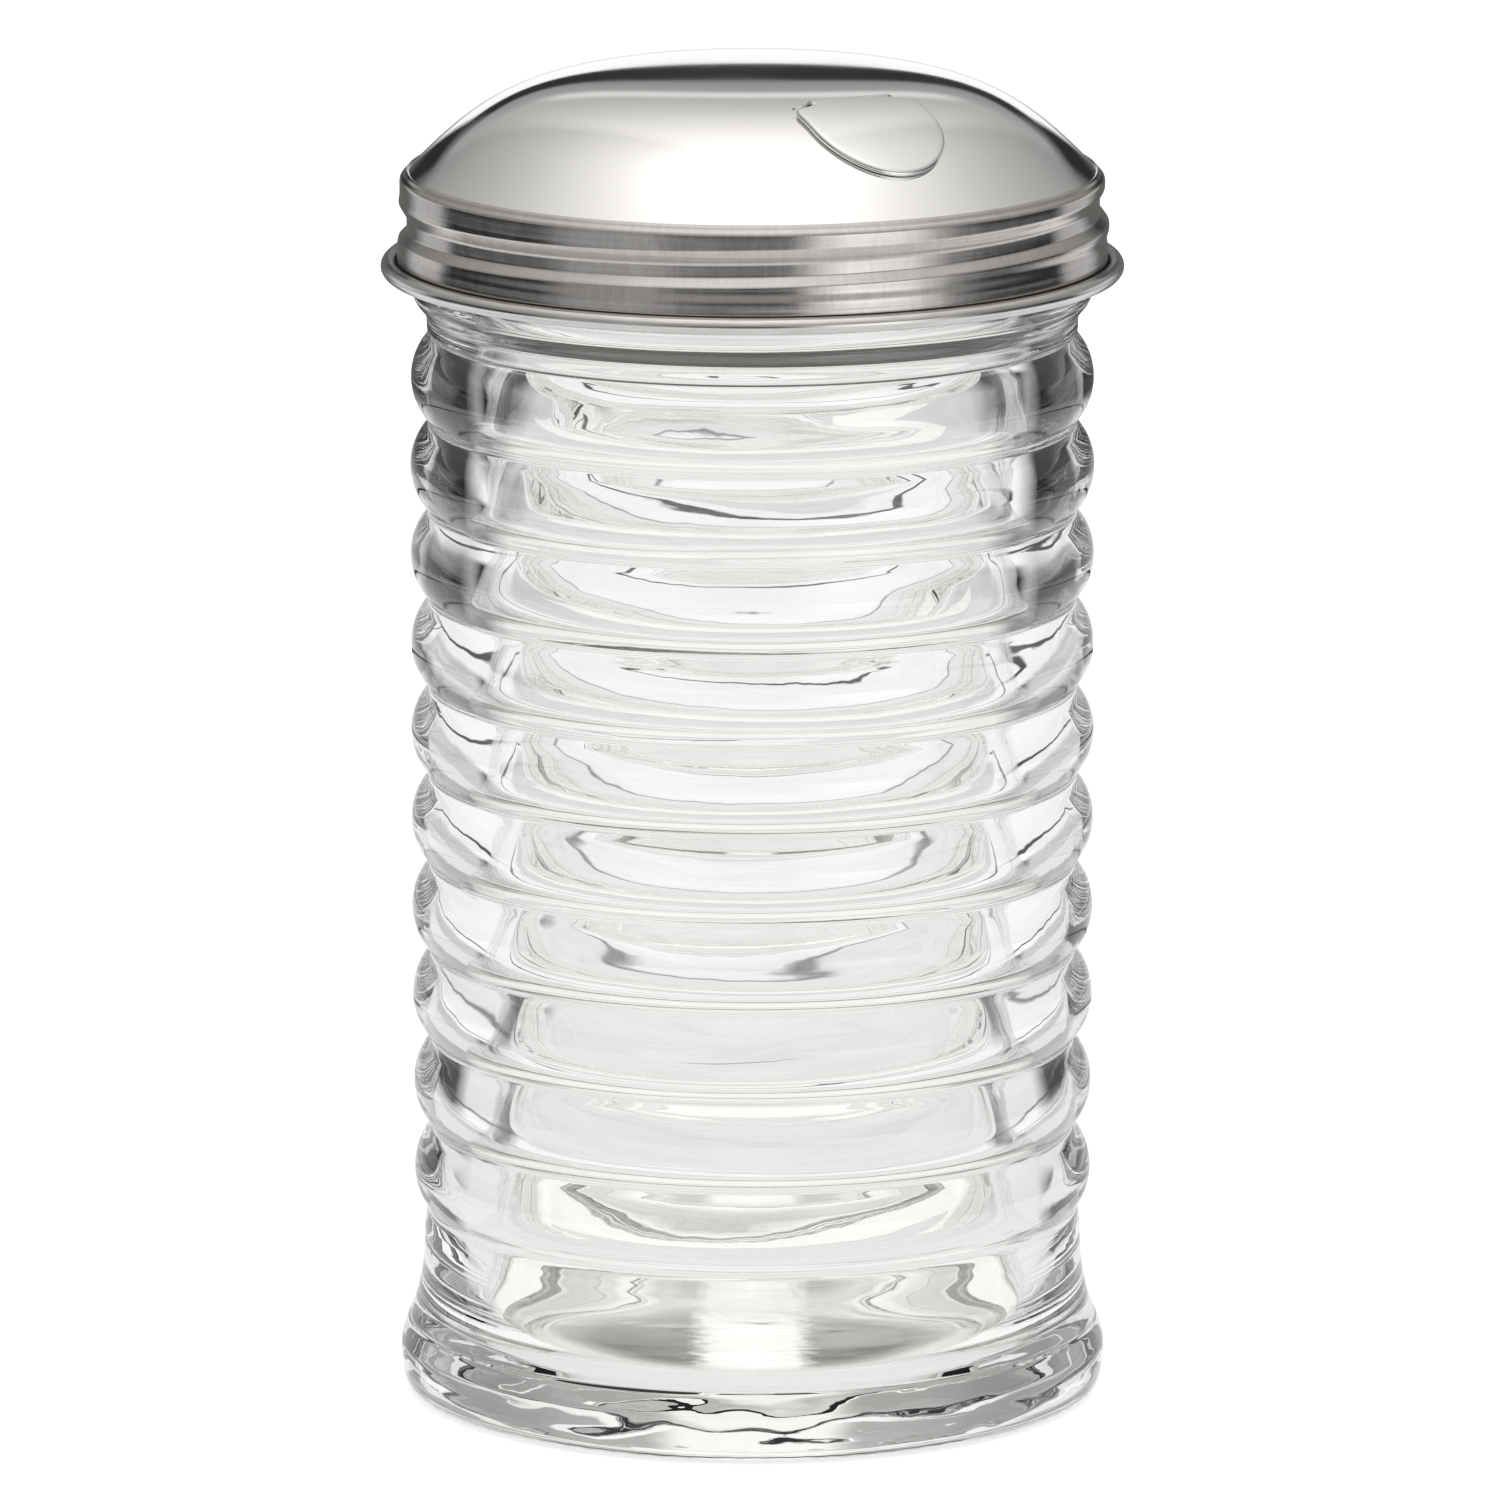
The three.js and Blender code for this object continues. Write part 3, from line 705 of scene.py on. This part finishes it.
flap_mat, nt, bsdf = new_material("flap_polished_sheet")
bsdf.inputs["Metallic"].default_value = 1.0
tc = node(nt, "ShaderNodeTexCoord")
cloud = node(nt, "ShaderNodeTexNoise", in_Scale=120.0, in_Detail=4.0, in_Roughness=0.55)
nt.links.new(tc.outputs["Object"], cloud.inputs["Vector"])
nt.links.new(ramp(nt, cloud.outputs["Fac"], [(0.3, (0.79, 0.785, 0.778)), (0.7, (0.83, 0.826, 0.82))]), bsdf.inputs["Base Color"])
nt.links.new(ramp(nt, cloud.outputs["Fac"], [(0.3, 0.07), (0.7, 0.11)]), bsdf.inputs["Roughness"])
flap.data.materials.append(flap_mat)


def tube(name, points, radius, sides=24):
    """A round bar along points (mm), ends capped."""
    p = np.array(points, float)
    t = np.gradient(p, axis=0)
    t /= np.linalg.norm(t, axis=1)[:, None]
    up = np.array([0.0, 1.0, 0.0])
    co, faces = [], []
    for i in range(len(p)):
        b = np.cross(t[i], up)
        b /= np.linalg.norm(b)
        u = np.cross(b, t[i])
        for j in range(sides):
            a = 2 * math.pi * j / sides
            co.append(tuple((p[i] + radius * (math.cos(a) * b + math.sin(a) * u)) * MM))
    for i in range(len(p) - 1):
        for j in range(sides):
            a, b2 = i * sides + j, i * sides + (j + 1) % sides
            faces.append((a, b2, b2 + sides, a + sides))
    faces.append(tuple(range(sides))[::-1])
    faces.append(tuple(range((len(p) - 1) * sides, len(p) * sides)))
    mesh = bpy.data.meshes.new(name)
    mesh.from_pydata(co, [], faces)
    mesh.polygons.foreach_set("use_smooth", np.ones(len(faces), bool))
    mesh.update()
    outward(mesh)
    mesh.set_sharp_from_angle(angle=math.radians(50))
    obj = bpy.data.objects.new(name, mesh)
    bpy.context.scene.collection.objects.link(obj)
    return obj


def low(x):
    return float(dome_offset(math.hypot(x, HINGE_Y), -SHEET - 0.3 - PIN_R)[1])


half = [(0, HINGE_Z), (2.4, HINGE_Z), (4.6, HINGE_Z), (5.3, HINGE_Z - 0.02), (6.0, (HINGE_Z + low(6.8)) / 2), (6.8, low(6.8)), (7.8, low(7.8)), (9.6, low(9.6))]
wire_line = catmull([(-x, z) for x, z in half[:0:-1]] + half, 0.3)
wire = tube("hinge_wire_pin", [(x, HINGE_Y, z) for x, z in wire_line], PIN_R)
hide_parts("hinge_wire")
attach(wire, "lid")
wire_mat, nt, bsdf = new_material("drawn_wire")
bsdf.inputs["Metallic"].default_value = 1.0
tc = node(nt, "ShaderNodeTexCoord")
stretch = node(nt, "ShaderNodeMapping")
stretch.inputs["Scale"].default_value = (60, 3000, 3000)
nt.links.new(tc.outputs["Object"], stretch.inputs["Vector"])
grain = node(nt, "ShaderNodeTexNoise", in_Scale=1.0, in_Detail=3.0)
nt.links.new(stretch.outputs[0], grain.inputs["Vector"])
nt.links.new(ramp(nt, grain.outputs["Fac"], [(0.3, (0.52, 0.515, 0.51)), (0.7, (0.68, 0.675, 0.67))]), bsdf.inputs["Base Color"])
nt.links.new(ramp(nt, grain.outputs["Fac"], [(0.3, 0.22), (0.7, 0.36)]), bsdf.inputs["Roughness"])
wire.data.materials.append(wire_mat)

# ------------------------------------------------------------------ stage
def disc(name, radius, z, segments=96):
    mesh = bpy.data.meshes.new(name)
    co = [(radius * math.cos(2 * math.pi * j / segments), radius * math.sin(2 * math.pi * j / segments), z) for j in range(segments)]
    mesh.from_pydata(co, [], [tuple(range(segments))])
    mesh.update()
    obj = bpy.data.objects.new(name, mesh)
    bpy.context.scene.collection.objects.link(obj)
    return obj


floor = disc("studio_floor", 12.0, -0.0001)
floor_mat, nt, bsdf = new_material("white_table")
bsdf.inputs["Base Color"].default_value = (0.86, 0.86, 0.86, 1)
bsdf.inputs["Roughness"].default_value = 0.8
bsdf.inputs["Specular IOR Level"].default_value = 0.1
bsdf.inputs["Emission Color"].default_value = (1, 1, 1, 1)
bsdf.inputs["Emission Strength"].default_value = 0.62
floor.data.materials.append(floor_mat)


def annulus(name, inner, outer, z, segments=180):
    """A flat ring round the table, seen only in reflections and through the glass."""
    co, faces = [], []
    for j in range(segments):
        a = 2 * math.pi * j / segments
        co += [(inner * math.sin(a), -inner * math.cos(a), z), (outer * math.sin(a), -outer * math.cos(a), z)]
    for j in range(segments):
        a, b = 2 * j, 2 * ((j + 1) % segments)
        faces.append((a, a + 1, b + 1, b))
    mesh = bpy.data.meshes.new(name)
    mesh.from_pydata(co, [], faces)
    mesh.update()
    obj = bpy.data.objects.new(name, mesh)
    bpy.context.scene.collection.objects.link(obj)
    obj.visible_camera = False
    obj.visible_diffuse = False
    obj.visible_shadow = False
    return obj


# ------------------------------------------------------------------ camera, at the photograph's view
PITCH_DOWN = 11.58
cam_data = bpy.data.cameras.new("camera")
cam_data.sensor_width = 36.0
cam_data.sensor_height = 36.0
cam_data.sensor_fit = "HORIZONTAL"
cam_data.lens = 358.3
cam_data.shift_x = -0.0016
cam_data.clip_end = 60
camera = bpy.data.objects.new("camera", cam_data)
camera.location = (-0.79825, -1.38261, 0.39779)
camera.rotation_euler = (math.radians(90 - PITCH_DOWN), 0, math.radians(-30))
bpy.context.scene.collection.objects.link(camera)
bpy.context.scene.camera = camera

CAM_AZ = math.degrees(math.atan2(camera.location.x, -camera.location.y))  # azimuth of the camera seen from the axis


def turns_from_back(nt, turn):
    """0 at the back of the photograph's view, 0.25 to its left, 0.5 at the camera, 0.75 to its right."""
    t = maths(nt, "ADD", maths(nt, "MULTIPLY", turn, 1 / (2 * math.pi)), 0.5 - CAM_AZ / 360)
    return maths(nt, "FRACT", maths(nt, "ADD", t, 1.0))


def back(a):
    return a / 360.0


# two narrow rings of painted shade on the table draw the fine wavy contours in the ribs, and close round the jar the
# table is painted a little darker, as a painted shadow;
# the room beyond the table's edge: white only where the sweep runs back, dark at both sides, dim room tones in front
ring = annulus("studio_beyond_table", 0.043, 12.0, 0.0002)
card, nt, bsdf = new_material("studio_beyond_table")
nt.nodes.remove(bsdf)
out = [n for n in nt.nodes if n.type == "OUTPUT_MATERIAL"][0]
sep, turn, radius = polar(nt)
beyond = ramp(nt, turns_from_back(nt, turn), [
    (0.0, 0.82), (back(12), 0.80), (back(24), 0.72), (back(34), 0.66), (back(58), 0.62), (back(64), 0.006), (back(108), 0.006), (back(120), 0.30),
    (back(146), 0.38), (back(157), 0.14), (back(170), 0.06), (back(192), 0.06), (back(201), 0.95), (back(212), 1.60), (back(230), 1.35), (back(248), 0.24), (back(262), 0.01),
    (back(296), 0.006), (back(302), 0.62), (back(326), 0.66), (back(336), 0.72), (back(348), 0.80), (1.0, 0.82)])
near_tone = ramp(nt, radius, [(0.0, 0.0), (0.52, 0.0), (0.62, 1.0), (1.0, 1.0)])
table = node(nt, "ShaderNodeMix", data_type="RGBA")
# out to 0.17 m from the axis the table tone is 0.88 against 1.04 further out: a painted shadow of the jar; the dips to
# 0.30 and 0.10 near 0.19 m and 0.40 m are the two rings of painted shade
nt.links.new(ramp(nt, radius, [(0.0, 0.88), (0.17, 0.88), (0.187, 0.90), (0.190, 0.30), (0.198, 0.30), (0.201, 0.96), (0.24, 1.04), (0.385, 1.04),
    (0.390, 0.10), (0.408, 0.10), (0.413, 1.04), (0.50, 1.04), (0.62, 0.84), (1.0, 0.84)]), table.inputs["A"])
nt.links.new(near_tone, table.inputs["Factor"])
nt.links.new(beyond, table.inputs["B"])
glow = node(nt, "ShaderNodeEmission")
nt.links.new(table.outputs["Result"], glow.inputs["Color"])
nt.links.new(glow.outputs[0], out.inputs["Surface"])
ring.data.materials.append(card)



def flags(name, radius, z0, z1, parts, hidden, tone=(0.028, 0.028, 0.026)):
    """Dark cards that stand close behind both flanks, to draw the glass's edges; seen only in reflections and through glass."""
    co, faces = [], []
    n = 96
    for j in range(n + 1):
        a = math.radians(CAM_AZ + 180 + 150 - 300 * j / n)
        co += [(radius * math.sin(a), -radius * math.cos(a), z0), (radius * math.sin(a), -radius * math.cos(a), z1)]
    for j in range(n):
        faces.append((2 * j, 2 * j + 2, 2 * j + 3, 2 * j + 1))
    mesh = bpy.data.meshes.new(name)
    mesh.from_pydata(co, [], faces)
    mesh.update()
    obj = bpy.data.objects.new(name, mesh)
    bpy.context.scene.collection.objects.link(obj)
    for kind in ("camera", "diffuse", "shadow", hidden):
        setattr(obj, "visible_" + kind, False)
    mat, nt, bsdf = new_material(name)
    nt.nodes.remove(bsdf)
    out = [m for m in nt.nodes if m.type == "OUTPUT_MATERIAL"][0]
    sep, turn, radius_ = polar(nt)
    height = maths(nt, "DIVIDE", maths(nt, "SUBTRACT", sep.outputs["Z"], z0), z1 - z0)
    side = turns_from_back(nt, turn)
    cover = None
    for (a, b, c, d), stops in parts:
        across = ramp(nt, side, [(0.0, 0.0), (back(a), 0.0), (back(b), 1.0), (back(c), 1.0), (back(d), 0.0), (back(360 - d), 0.0), (back(360 - c), 1.0),
                                 (back(360 - b), 1.0), (back(360 - a), 0.0), (1.0, 0.0)])
        part = maths(nt, "MULTIPLY", across, ramp(nt, height, [(0.0, 0.0)] + [((z * MM - z0) / (z1 - z0), v) for z, v in stops] + [(1.0, 0.0)]))
        cover = part if cover is None else maths(nt, "MAXIMUM", cover, part)
    clear = node(nt, "ShaderNodeBsdfTransparent")
    black = node(nt, "ShaderNodeEmission")
    black.inputs["Color"].default_value = (*tone, 1)
    mix = node(nt, "ShaderNodeMixShader")
    nt.links.new(cover, mix.inputs[0])
    nt.links.new(clear.outputs[0], mix.inputs[1])
    nt.links.new(black.outputs[0], mix.inputs[2])
    nt.links.new(mix.outputs[0], out.inputs["Surface"])
    obj.data.materials.append(mat)
    return obj


glass_cards = flags("studio_glass_cards", 0.067, 0.074, 0.156, [
    ((35, 47, 76, 88), [(80, 0.0), (88, 1.0), (113, 1.0), (122, 0.0)]),
    ((42, 52, 116, 134), [(106, 0.0), (113, 1.0), (127, 1.0), (134, 0.0)])], "glossy")
dome_cards = flags("studio_dome_cards", 0.0674, 0.074, 0.156, [
    ((38, 42, 54, 64), [(126, 0.0), (133, 1.0), (148, 1.0), (154, 0.0)])], "transmission")
skirt_cards = flags("studio_skirt_cards", 0.0666, 0.074, 0.156, [
    ((15, 27, 62, 72), [(92, 0.0), (102, 1.0), (132, 1.0), (140, 0.0)])], "transmission", (0.15, 0.148, 0.142))
foot_cards = flags("studio_low_cards", 0.0672, 0.008, 0.030, [((38, 46, 66, 76), [(11, 0.0), (14, 1.0), (24, 1.0), (28, 0.0)])], "glossy")

# the light that the glass gathers on the table right under it: a bright strip away from the camera, grey-brown beside it
pool = disc("studio_light_under_glass", 0.027, 0.00004)
for kind in ("camera", "diffuse", "shadow"):
    setattr(pool, "visible_" + kind, False)
pool_mat, nt, bsdf = new_material("studio_light_under_glass")
nt.nodes.remove(bsdf)
out = [m for m in nt.nodes if m.type == "OUTPUT_MATERIAL"][0]
sep, turn, radius = polar(nt)
across = maths(nt, "ADD", maths(nt, "MULTIPLY", sep.outputs["X"], math.cos(math.radians(CAM_AZ))),
               maths(nt, "MULTIPLY", sep.outputs["Y"], math.sin(math.radians(CAM_AZ))))
tc = node(nt, "ShaderNodeTexCoord")
speck = node(nt, "ShaderNodeTexNoise", in_Scale=420.0, in_Detail=4.0, in_Roughness=0.65)
nt.links.new(tc.outputs["Object"], speck.inputs["Vector"])
edge = maths(nt, "ADD", maths(nt, "ABSOLUTE", across), maths(nt, "MULTIPLY", maths(nt, "SUBTRACT", speck.outputs["Fac"], 0.5), 0.006))
glow = node(nt, "ShaderNodeEmission")
nt.links.new(ramp(nt, maths(nt, "MULTIPLY", edge, 50.0), [
    (0.0, (1.25, 1.25, 1.24)), (0.24, (1.15, 1.15, 1.14)), (0.36, (0.22, 0.205, 0.190)), (0.7, (0.17, 0.157, 0.145)), (1.0, (0.26, 0.245, 0.23))]),
    glow.inputs["Color"])
clear = node(nt, "ShaderNodeBsdfTransparent")
mix = node(nt, "ShaderNodeMixShader")
nt.links.new(ramp(nt, maths(nt, "MULTIPLY", radius, 40.0), [(0.0, 1.0), (0.72, 1.0), (1.0, 0.0)]), mix.inputs[0])
nt.links.new(clear.outputs[0], mix.inputs[1])
nt.links.new(glow.outputs[0], mix.inputs[2])
nt.links.new(mix.outputs[0], out.inputs["Surface"])
pool.data.materials.append(pool_mat)

# a dark panel behind, high enough that only the dome and the neck see it low down
GAP_R, GAP_LOW, GAP_HIGH = 0.5, 0.2165, 0.3400
co, faces = [], []
for j in range(33):
    a = math.radians(CAM_AZ + 180 + 32 - 2 * j)
    co += [(GAP_R * math.sin(a), -GAP_R * math.cos(a), GAP_LOW), (GAP_R * math.sin(a), -GAP_R * math.cos(a), GAP_HIGH)]
for j in range(32):
    faces.append((2 * j, 2 * j + 2, 2 * j + 3, 2 * j + 1))
mesh = bpy.data.meshes.new("studio_dark_panel")
mesh.from_pydata(co, [], faces)
mesh.update()
panel = bpy.data.objects.new("studio_dark_panel", mesh)
bpy.context.scene.collection.objects.link(panel)
for kind in ("camera", "diffuse", "shadow", "transmission"):
    setattr(panel, "visible_" + kind, False)
panel_mat, nt, bsdf = new_material("studio_dark_panel")
nt.nodes.remove(bsdf)
out = [m for m in nt.nodes if m.type == "OUTPUT_MATERIAL"][0]
sep, turn, radius = polar(nt)
height = maths(nt, "DIVIDE", maths(nt, "SUBTRACT", sep.outputs["Z"], GAP_LOW), GAP_HIGH - GAP_LOW)


def level(angle):
    """Height on the panel that the dome's crown sees at this elevation."""
    return (0.146 + GAP_R * math.tan(math.radians(angle)) - GAP_LOW) / (GAP_HIGH - GAP_LOW)


glow = node(nt, "ShaderNodeEmission")
nt.links.new(ramp(nt, height, [(0.0, 0.022), (level(13.0), 0.03), (level(14.2), 0.30), (1.0, 0.42)]), glow.inputs["Color"])
clear = node(nt, "ShaderNodeBsdfTransparent")
mix = node(nt, "ShaderNodeMixShader")
beside = ramp(nt, turns_from_back(nt, turn), [(0.0, 1.0), (back(17), 1.0), (back(27), 0.0), (back(333), 0.0), (back(343), 1.0), (1.0, 1.0)])
above = ramp(nt, height, [(0.0, 0.0), (level(8.3), 1.0), (level(18.5), 1.0), (1.0, 0.0)])
nt.links.new(maths(nt, "MULTIPLY", beside, above), mix.inputs[0])
nt.links.new(clear.outputs[0], mix.inputs[1])
nt.links.new(glow.outputs[0], mix.inputs[2])
nt.links.new(mix.outputs[0], out.inputs["Surface"])
panel.data.materials.append(panel_mat)

# soft light from above that grows towards the top; a white sweep low down behind
world = bpy.data.worlds.new("studio")
bpy.context.scene.world = world
world.use_nodes = True
nt = world.node_tree
bg = nt.nodes["Background"]
tc = node(nt, "ShaderNodeTexCoord")
sep = node(nt, "ShaderNodeSeparateXYZ")
nt.links.new(tc.outputs["Generated"], sep.inputs[0])
el = maths(nt, "ARCSINE", maths(nt, "MAXIMUM", maths(nt, "MINIMUM", sep.outputs["Z"], 1.0), -1.0))
fac = maths(nt, "MULTIPLY", el, 2 / math.pi)
world_turn = turns_from_back(nt, maths(nt, "ARCTAN2", sep.outputs["X"], maths(nt, "MULTIPLY", sep.outputs["Y"], -1.0)))


def deg(a):
    return a / 90.0


LIGHT = 1.3
sky = ramp(nt, fac, [
    (0.0, 0.0), (deg(7.3), 0.0), (deg(8.2), 0.40 / LIGHT), (deg(14.2), 0.40 / LIGHT), (deg(25), 0.50 / LIGHT),
    (deg(35), 0.66 / LIGHT), (deg(45), 0.84 / LIGHT), (deg(54), 1.0 / LIGHT), (deg(63), 1.15 / LIGHT), (deg(70), 1.28 / LIGHT), (1.0, 1.0)])
low_band = ramp(nt, world_turn, [
    (0.0, 0.82), (back(12), 0.80), (back(24), 0.72), (back(34), 0.66), (back(58), 0.62), (back(64), 0.006), (back(108), 0.006), (back(120), 0.30),
    (back(146), 0.38), (back(157), 0.14), (back(170), 0.06), (back(192), 0.06), (back(201), 0.95), (back(212), 1.60), (back(230), 1.35), (back(248), 0.24), (back(262), 0.01),
    (back(296), 0.006), (back(302), 0.62), (back(326), 0.66), (back(336), 0.72), (back(348), 0.80), (1.0, 0.82)])
# off to both sides the light comes lower down than behind
side_sky = ramp(nt, fac, [
    (0.0, 0.0), (deg(7.3), 0.0), (deg(8.2), 0.36 / LIGHT), (deg(14), 0.32 / LIGHT), (deg(20), 0.34 / LIGHT), (deg(25), 0.40 / LIGHT),
    (deg(35), 0.50 / LIGHT), (deg(45), 0.64 / LIGHT), (deg(54), 0.82 / LIGHT), (deg(63), 1.02 / LIGHT), (deg(70), 1.22 / LIGHT), (1.0, 1.0)])
to_side = ramp(nt, world_turn, [(0.0, 0.0), (back(17), 0.0), (back(27), 1.0), (back(104), 1.0), (back(118), 0.0), (back(242), 0.0), (back(256), 1.0),
                                (back(333), 1.0), (back(343), 0.0), (1.0, 0.0)])
sides = node(nt, "ShaderNodeMix", data_type="RGBA")
nt.links.new(to_side, sides.inputs["Factor"])
nt.links.new(sky, sides.inputs["A"])
nt.links.new(side_sky, sides.inputs["B"])
# straight behind, the white sweep reaches higher in a narrow strip, with grey beside it
behind_sky = ramp(nt, fac, [
    (0.0, 0.0), (deg(7.3), 0.0), (deg(8.2), 0.46 / LIGHT), (deg(14.2), 0.42 / LIGHT), (deg(25), 0.50 / LIGHT),
    (deg(35), 0.66 / LIGHT), (deg(45), 0.84 / LIGHT), (deg(54), 1.0 / LIGHT), (deg(63), 1.15 / LIGHT), (deg(70), 1.28 / LIGHT), (1.0, 1.0)])
strip_sky = ramp(nt, fac, [
    (0.0, 0.0), (deg(7.3), 0.0), (deg(8.2), 1.0 / LIGHT), (deg(19), 1.0 / LIGHT), (deg(24), 0.50 / LIGHT),
    (deg(35), 0.66 / LIGHT), (deg(45), 0.84 / LIGHT), (deg(54), 1.0 / LIGHT), (deg(63), 1.15 / LIGHT), (deg(70), 1.28 / LIGHT), (1.0, 1.0)])
strip = node(nt, "ShaderNodeMix", data_type="RGBA")
nt.links.new(ramp(nt, world_turn, [(0.0, 1.0), (back(8), 1.0), (back(12), 0.0), (back(348), 0.0), (back(352), 1.0), (1.0, 1.0)]), strip.inputs["Factor"])
nt.links.new(behind_sky, strip.inputs["A"])
nt.links.new(strip_sky, strip.inputs["B"])
whole_sky = node(nt, "ShaderNodeMix", data_type="RGBA")
nt.links.new(ramp(nt, world_turn, [(0.0, 1.0), (back(17), 1.0), (back(27), 0.0), (back(333), 0.0), (back(343), 1.0), (1.0, 1.0)]), whole_sky.inputs["Factor"])
nt.links.new(sides.outputs["Result"], whole_sky.inputs["A"])
nt.links.new(strip.outputs["Result"], whole_sky.inputs["B"])
under = ramp(nt, fac, [(0.0, 1.0), (deg(7.3), 1.0), (deg(8.2), 0.0), (1.0, 0.0)])
sky_light = node(nt, "ShaderNodeMix", data_type="RGBA", blend_type="MULTIPLY")
sky_light.inputs["Factor"].default_value = 1.0
nt.links.new(low_band, sky_light.inputs["A"])
nt.links.new(under, sky_light.inputs["B"])
both = node(nt, "ShaderNodeMix", data_type="RGBA", blend_type="ADD")
both.inputs["Factor"].default_value = 1.0
nt.links.new(whole_sky.outputs["Result"], both.inputs["A"])
nt.links.new(sky_light.outputs["Result"], both.inputs["B"])
warm = node(nt, "ShaderNodeMix", data_type="RGBA", blend_type="MULTIPLY")
warm.inputs["Factor"].default_value = 1.0
nt.links.new(both.outputs["Result"], warm.inputs["A"])
nt.links.new(ramp(nt, fac, [(0.0, (1.0, 1.0, 0.995)), (deg(14), (1.0, 0.985, 0.965)), (deg(60), (1.0, 0.985, 0.965)), (1.0, (1.0, 0.995, 0.985))]), warm.inputs["B"])
nt.links.new(warm.outputs["Result"], bg.inputs["Color"])
bg.inputs["Strength"].default_value = LIGHT

scene = bpy.context.scene
scene.view_settings.view_transform = "Standard"
scene.view_settings.look = "None"
scene.cycles.max_bounces = 32
scene.cycles.transmission_bounces = 32
scene.cycles.glossy_bounces = 8

bpy.context.view_layer.update()
